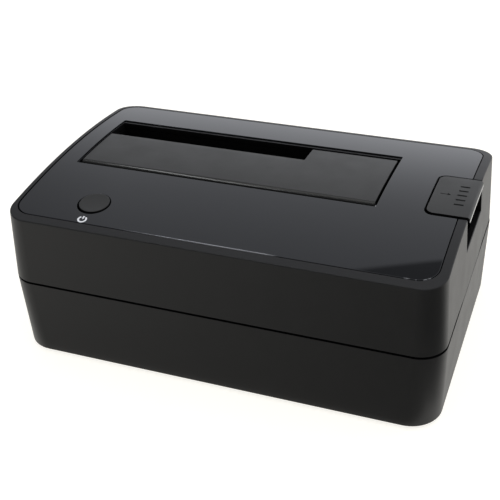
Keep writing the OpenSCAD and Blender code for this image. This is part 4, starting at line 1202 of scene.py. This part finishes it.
def world_light():
    """Soft room light: brighter low at the back and to the right, with one dark edge high behind the object."""
    w = bpy.data.worlds.new("studio")
    bpy.context.scene.world = w
    w.use_nodes = True
    nt = w.node_tree
    bg = nt.nodes["Background"]
    way = nt.nodes.new("ShaderNodeTexCoord").outputs["Generated"]

    def along(v):
        d = nt.nodes.new("ShaderNodeVectorMath")
        d.operation = "DOT_PRODUCT"
        nt.links.new(way, d.inputs[0])
        d.inputs[1].default_value = v
        return d.outputs["Value"]

    up = along((0, 0, 1))
    r = nt.nodes.new("ShaderNodeValToRGB")
    r.color_ramp.interpolation = "EASE"
    e = r.color_ramp.elements
    stops = [(0.0, 1.0), (0.2, 0.97), (0.6, 0.735), (1.0, 0.67)]
    while len(e) < len(stops):
        e.new(0.5)
    for k, (p, v) in enumerate(stops):
        e[k].position = p
        e[k].color = (v * 0.972, v * 0.99, v * 1.045, 1)
    nt.links.new(up, r.inputs["Fac"])
    side = math2(nt, "ADD", along((0.35, 0.25, 0)), 1.0)
    # the front of the room and its far left are darker
    side = math2(nt, "MULTIPLY", side, spread(nt, along((0, 1, 0)), 0.42, 1.0, -0.9, 0.05))
    side = math2(nt, "MULTIPLY", side, spread(nt, along((1, 0, 0)), 0.80, 1.0, -0.52, -0.44))
    edge = along((-0.7471, 0.4074, -0.5253))
    flag = math2(nt, "MULTIPLY", spread(nt, edge, 1.0, 0.0, -0.006, 0.006), spread(nt, edge, 0.0, 1.0, -0.14, -0.06))
    flag = math2(nt, "MULTIPLY", flag, spread(nt, up, 0.0, 1.0, 0.5, 0.62))
    dim = math2(nt, "SUBTRACT", 1.0, math2(nt, "MULTIPLY", flag, 0.69))
    scale = nt.nodes.new("ShaderNodeVectorMath")
    scale.operation = "SCALE"
    nt.links.new(r.outputs["Color"], scale.inputs[0])
    # a long tube light, high at the left and to the front
    off = math2(nt, "ABSOLUTE", along((0.9096, 0.0401, 0.4136)), 0.0)
    tube_on = math2(nt, "MULTIPLY", spread(nt, off, 1.0, 0.0, 0.018, 0.034), spread(nt, along((0, 1, 0)), 1.0, 0.0, 0.0, 0.08))
    tube_on = math2(nt, "MULTIPLY", tube_on, spread(nt, along((0, 1, 0)), 0.0, 1.0, -0.62, -0.54))
    tube_on = math2(nt, "MULTIPLY", tube_on, spread(nt, up, 0.0, 1.0, 0.3, 0.35))
    level = math2(nt, "ADD", math2(nt, "MULTIPLY", side, dim), math2(nt, "MULTIPLY", tube_on, 14.0))
    nt.links.new(level, scale.inputs["Scale"])
    nt.links.new(scale.outputs["Vector"], bg.inputs["Color"])
    bg.inputs["Strength"].default_value = 1.0


def flag_card():
    """Dark card lying in front of the object, outside the picture: only reflections show it."""
    m, nt, b, vec = nodes_of("dark_card")
    b.inputs["Base Color"].default_value = (0.005, 0.005, 0.005, 1)
    b.inputs["Roughness"].default_value = 0.9
    b.inputs["Specular IOR Level"].default_value = 0.0
    sep = nt.nodes.new("ShaderNodeSeparateXYZ")
    nt.links.new(vec, sep.inputs[0])
    far = math2(nt, "MULTIPLY", spread(nt, sep.outputs["X"], 0.0, 0.72, -0.15, 0.06), spread(nt, sep.outputs["Y"], 1.0, 0.8, -0.11, -0.047))
    near = spread(nt, sep.outputs["Y"], 0.0, 0.30, -0.12, -0.047)
    right = spread(nt, sep.outputs["X"], 0.0, 0.72, 0.080, 0.125)
    clear = math2(nt, "MULTIPLY", math2(nt, "SUBTRACT", 1.0, far), math2(nt, "SUBTRACT", 1.0, near))
    clear = math2(nt, "MULTIPLY", clear, math2(nt, "SUBTRACT", 1.0, right))
    slant = math2(nt, "SUBTRACT", sep.outputs["Y"], math2(nt, "SUBTRACT", math2(nt, "MAXIMUM", math2(nt, "MINIMUM", sep.outputs["X"], 0.12), 0.085), 0.085))
    alpha = math2(nt, "MULTIPLY", math2(nt, "SUBTRACT", 1.0, clear), spread(nt, slant, 1.0, 0.0, -0.045, -0.026))
    nt.links.new(alpha, b.inputs["Alpha"])
    me = bpy.data.meshes.new("card")
    me.from_pydata([(-0.3, -0.5, 0.0006), (0.4, -0.5, 0.0006), (0.4, -0.047, 0.0006), (-0.3, -0.047, 0.0006),
                    (0.078, -0.047, 0.0006), (0.078, 0.012, 0.0006), (0.4, 0.012, 0.0006)], [], [(0, 1, 2, 4, 3), (4, 2, 6, 5)])
    me.materials.append(m)
    ob = bpy.data.objects.new("card", me)
    bpy.context.scene.collection.objects.link(ob)
    ob.visible_camera = ob.visible_diffuse = ob.visible_shadow = ob.visible_transmission = False


def area(name, loc, target, size, power):
    d = bpy.data.lights.new(name, "AREA")
    d.shape = "RECTANGLE"
    d.size, d.size_y = size
    d.energy = power
    ob = bpy.data.objects.new(name, d)
    bpy.context.scene.collection.objects.link(ob)
    ob.location = loc
    ob.rotation_mode = "QUATERNION"
    ob.rotation_quaternion = (Vector(target) - Vector(loc)).to_track_quat("-Z", "Y")
    return ob


def camera():
    az, el, roll = (math.radians(a) for a in (21.6158, 32.4989, -2.3525))
    back = np.array([math.sin(az) * math.cos(el), -math.cos(az) * math.cos(el), math.sin(el)])
    right = np.array([math.cos(az), math.sin(az), 0.0])
    upv = np.cross(back, right)
    r = math.cos(roll) * right + math.sin(roll) * upv
    u = -math.sin(roll) * right + math.cos(roll) * upv
    d = bpy.data.cameras.new("view")
    d.sensor_fit = "HORIZONTAL"
    d.sensor_width = 36.0
    d.lens = 998.3536 * 36.0 / 500.0
    d.clip_start, d.clip_end = 0.01, 50.0
    ob = bpy.data.objects.new("view", d)
    bpy.context.scene.collection.objects.link(ob)
    m = Matrix.Identity(4)
    for k in range(3):
        m[k][0], m[k][1], m[k][2] = r[k], u[k], back[k]
    m[0][3], m[1][3], m[2][3] = 0.1031243, -0.2704221, 0.2093526
    ob.matrix_world = m
    bpy.context.scene.camera = ob


stage_floor()
world_light()
flag_card()
area("overhead", (0.1, 0.0, 1.6), (0, 0, 0), (1.4, 1.4), 4.0)
camera()
bpy.context.scene.view_settings.view_transform = "Standard"
bpy.context.scene.view_settings.look = "None"
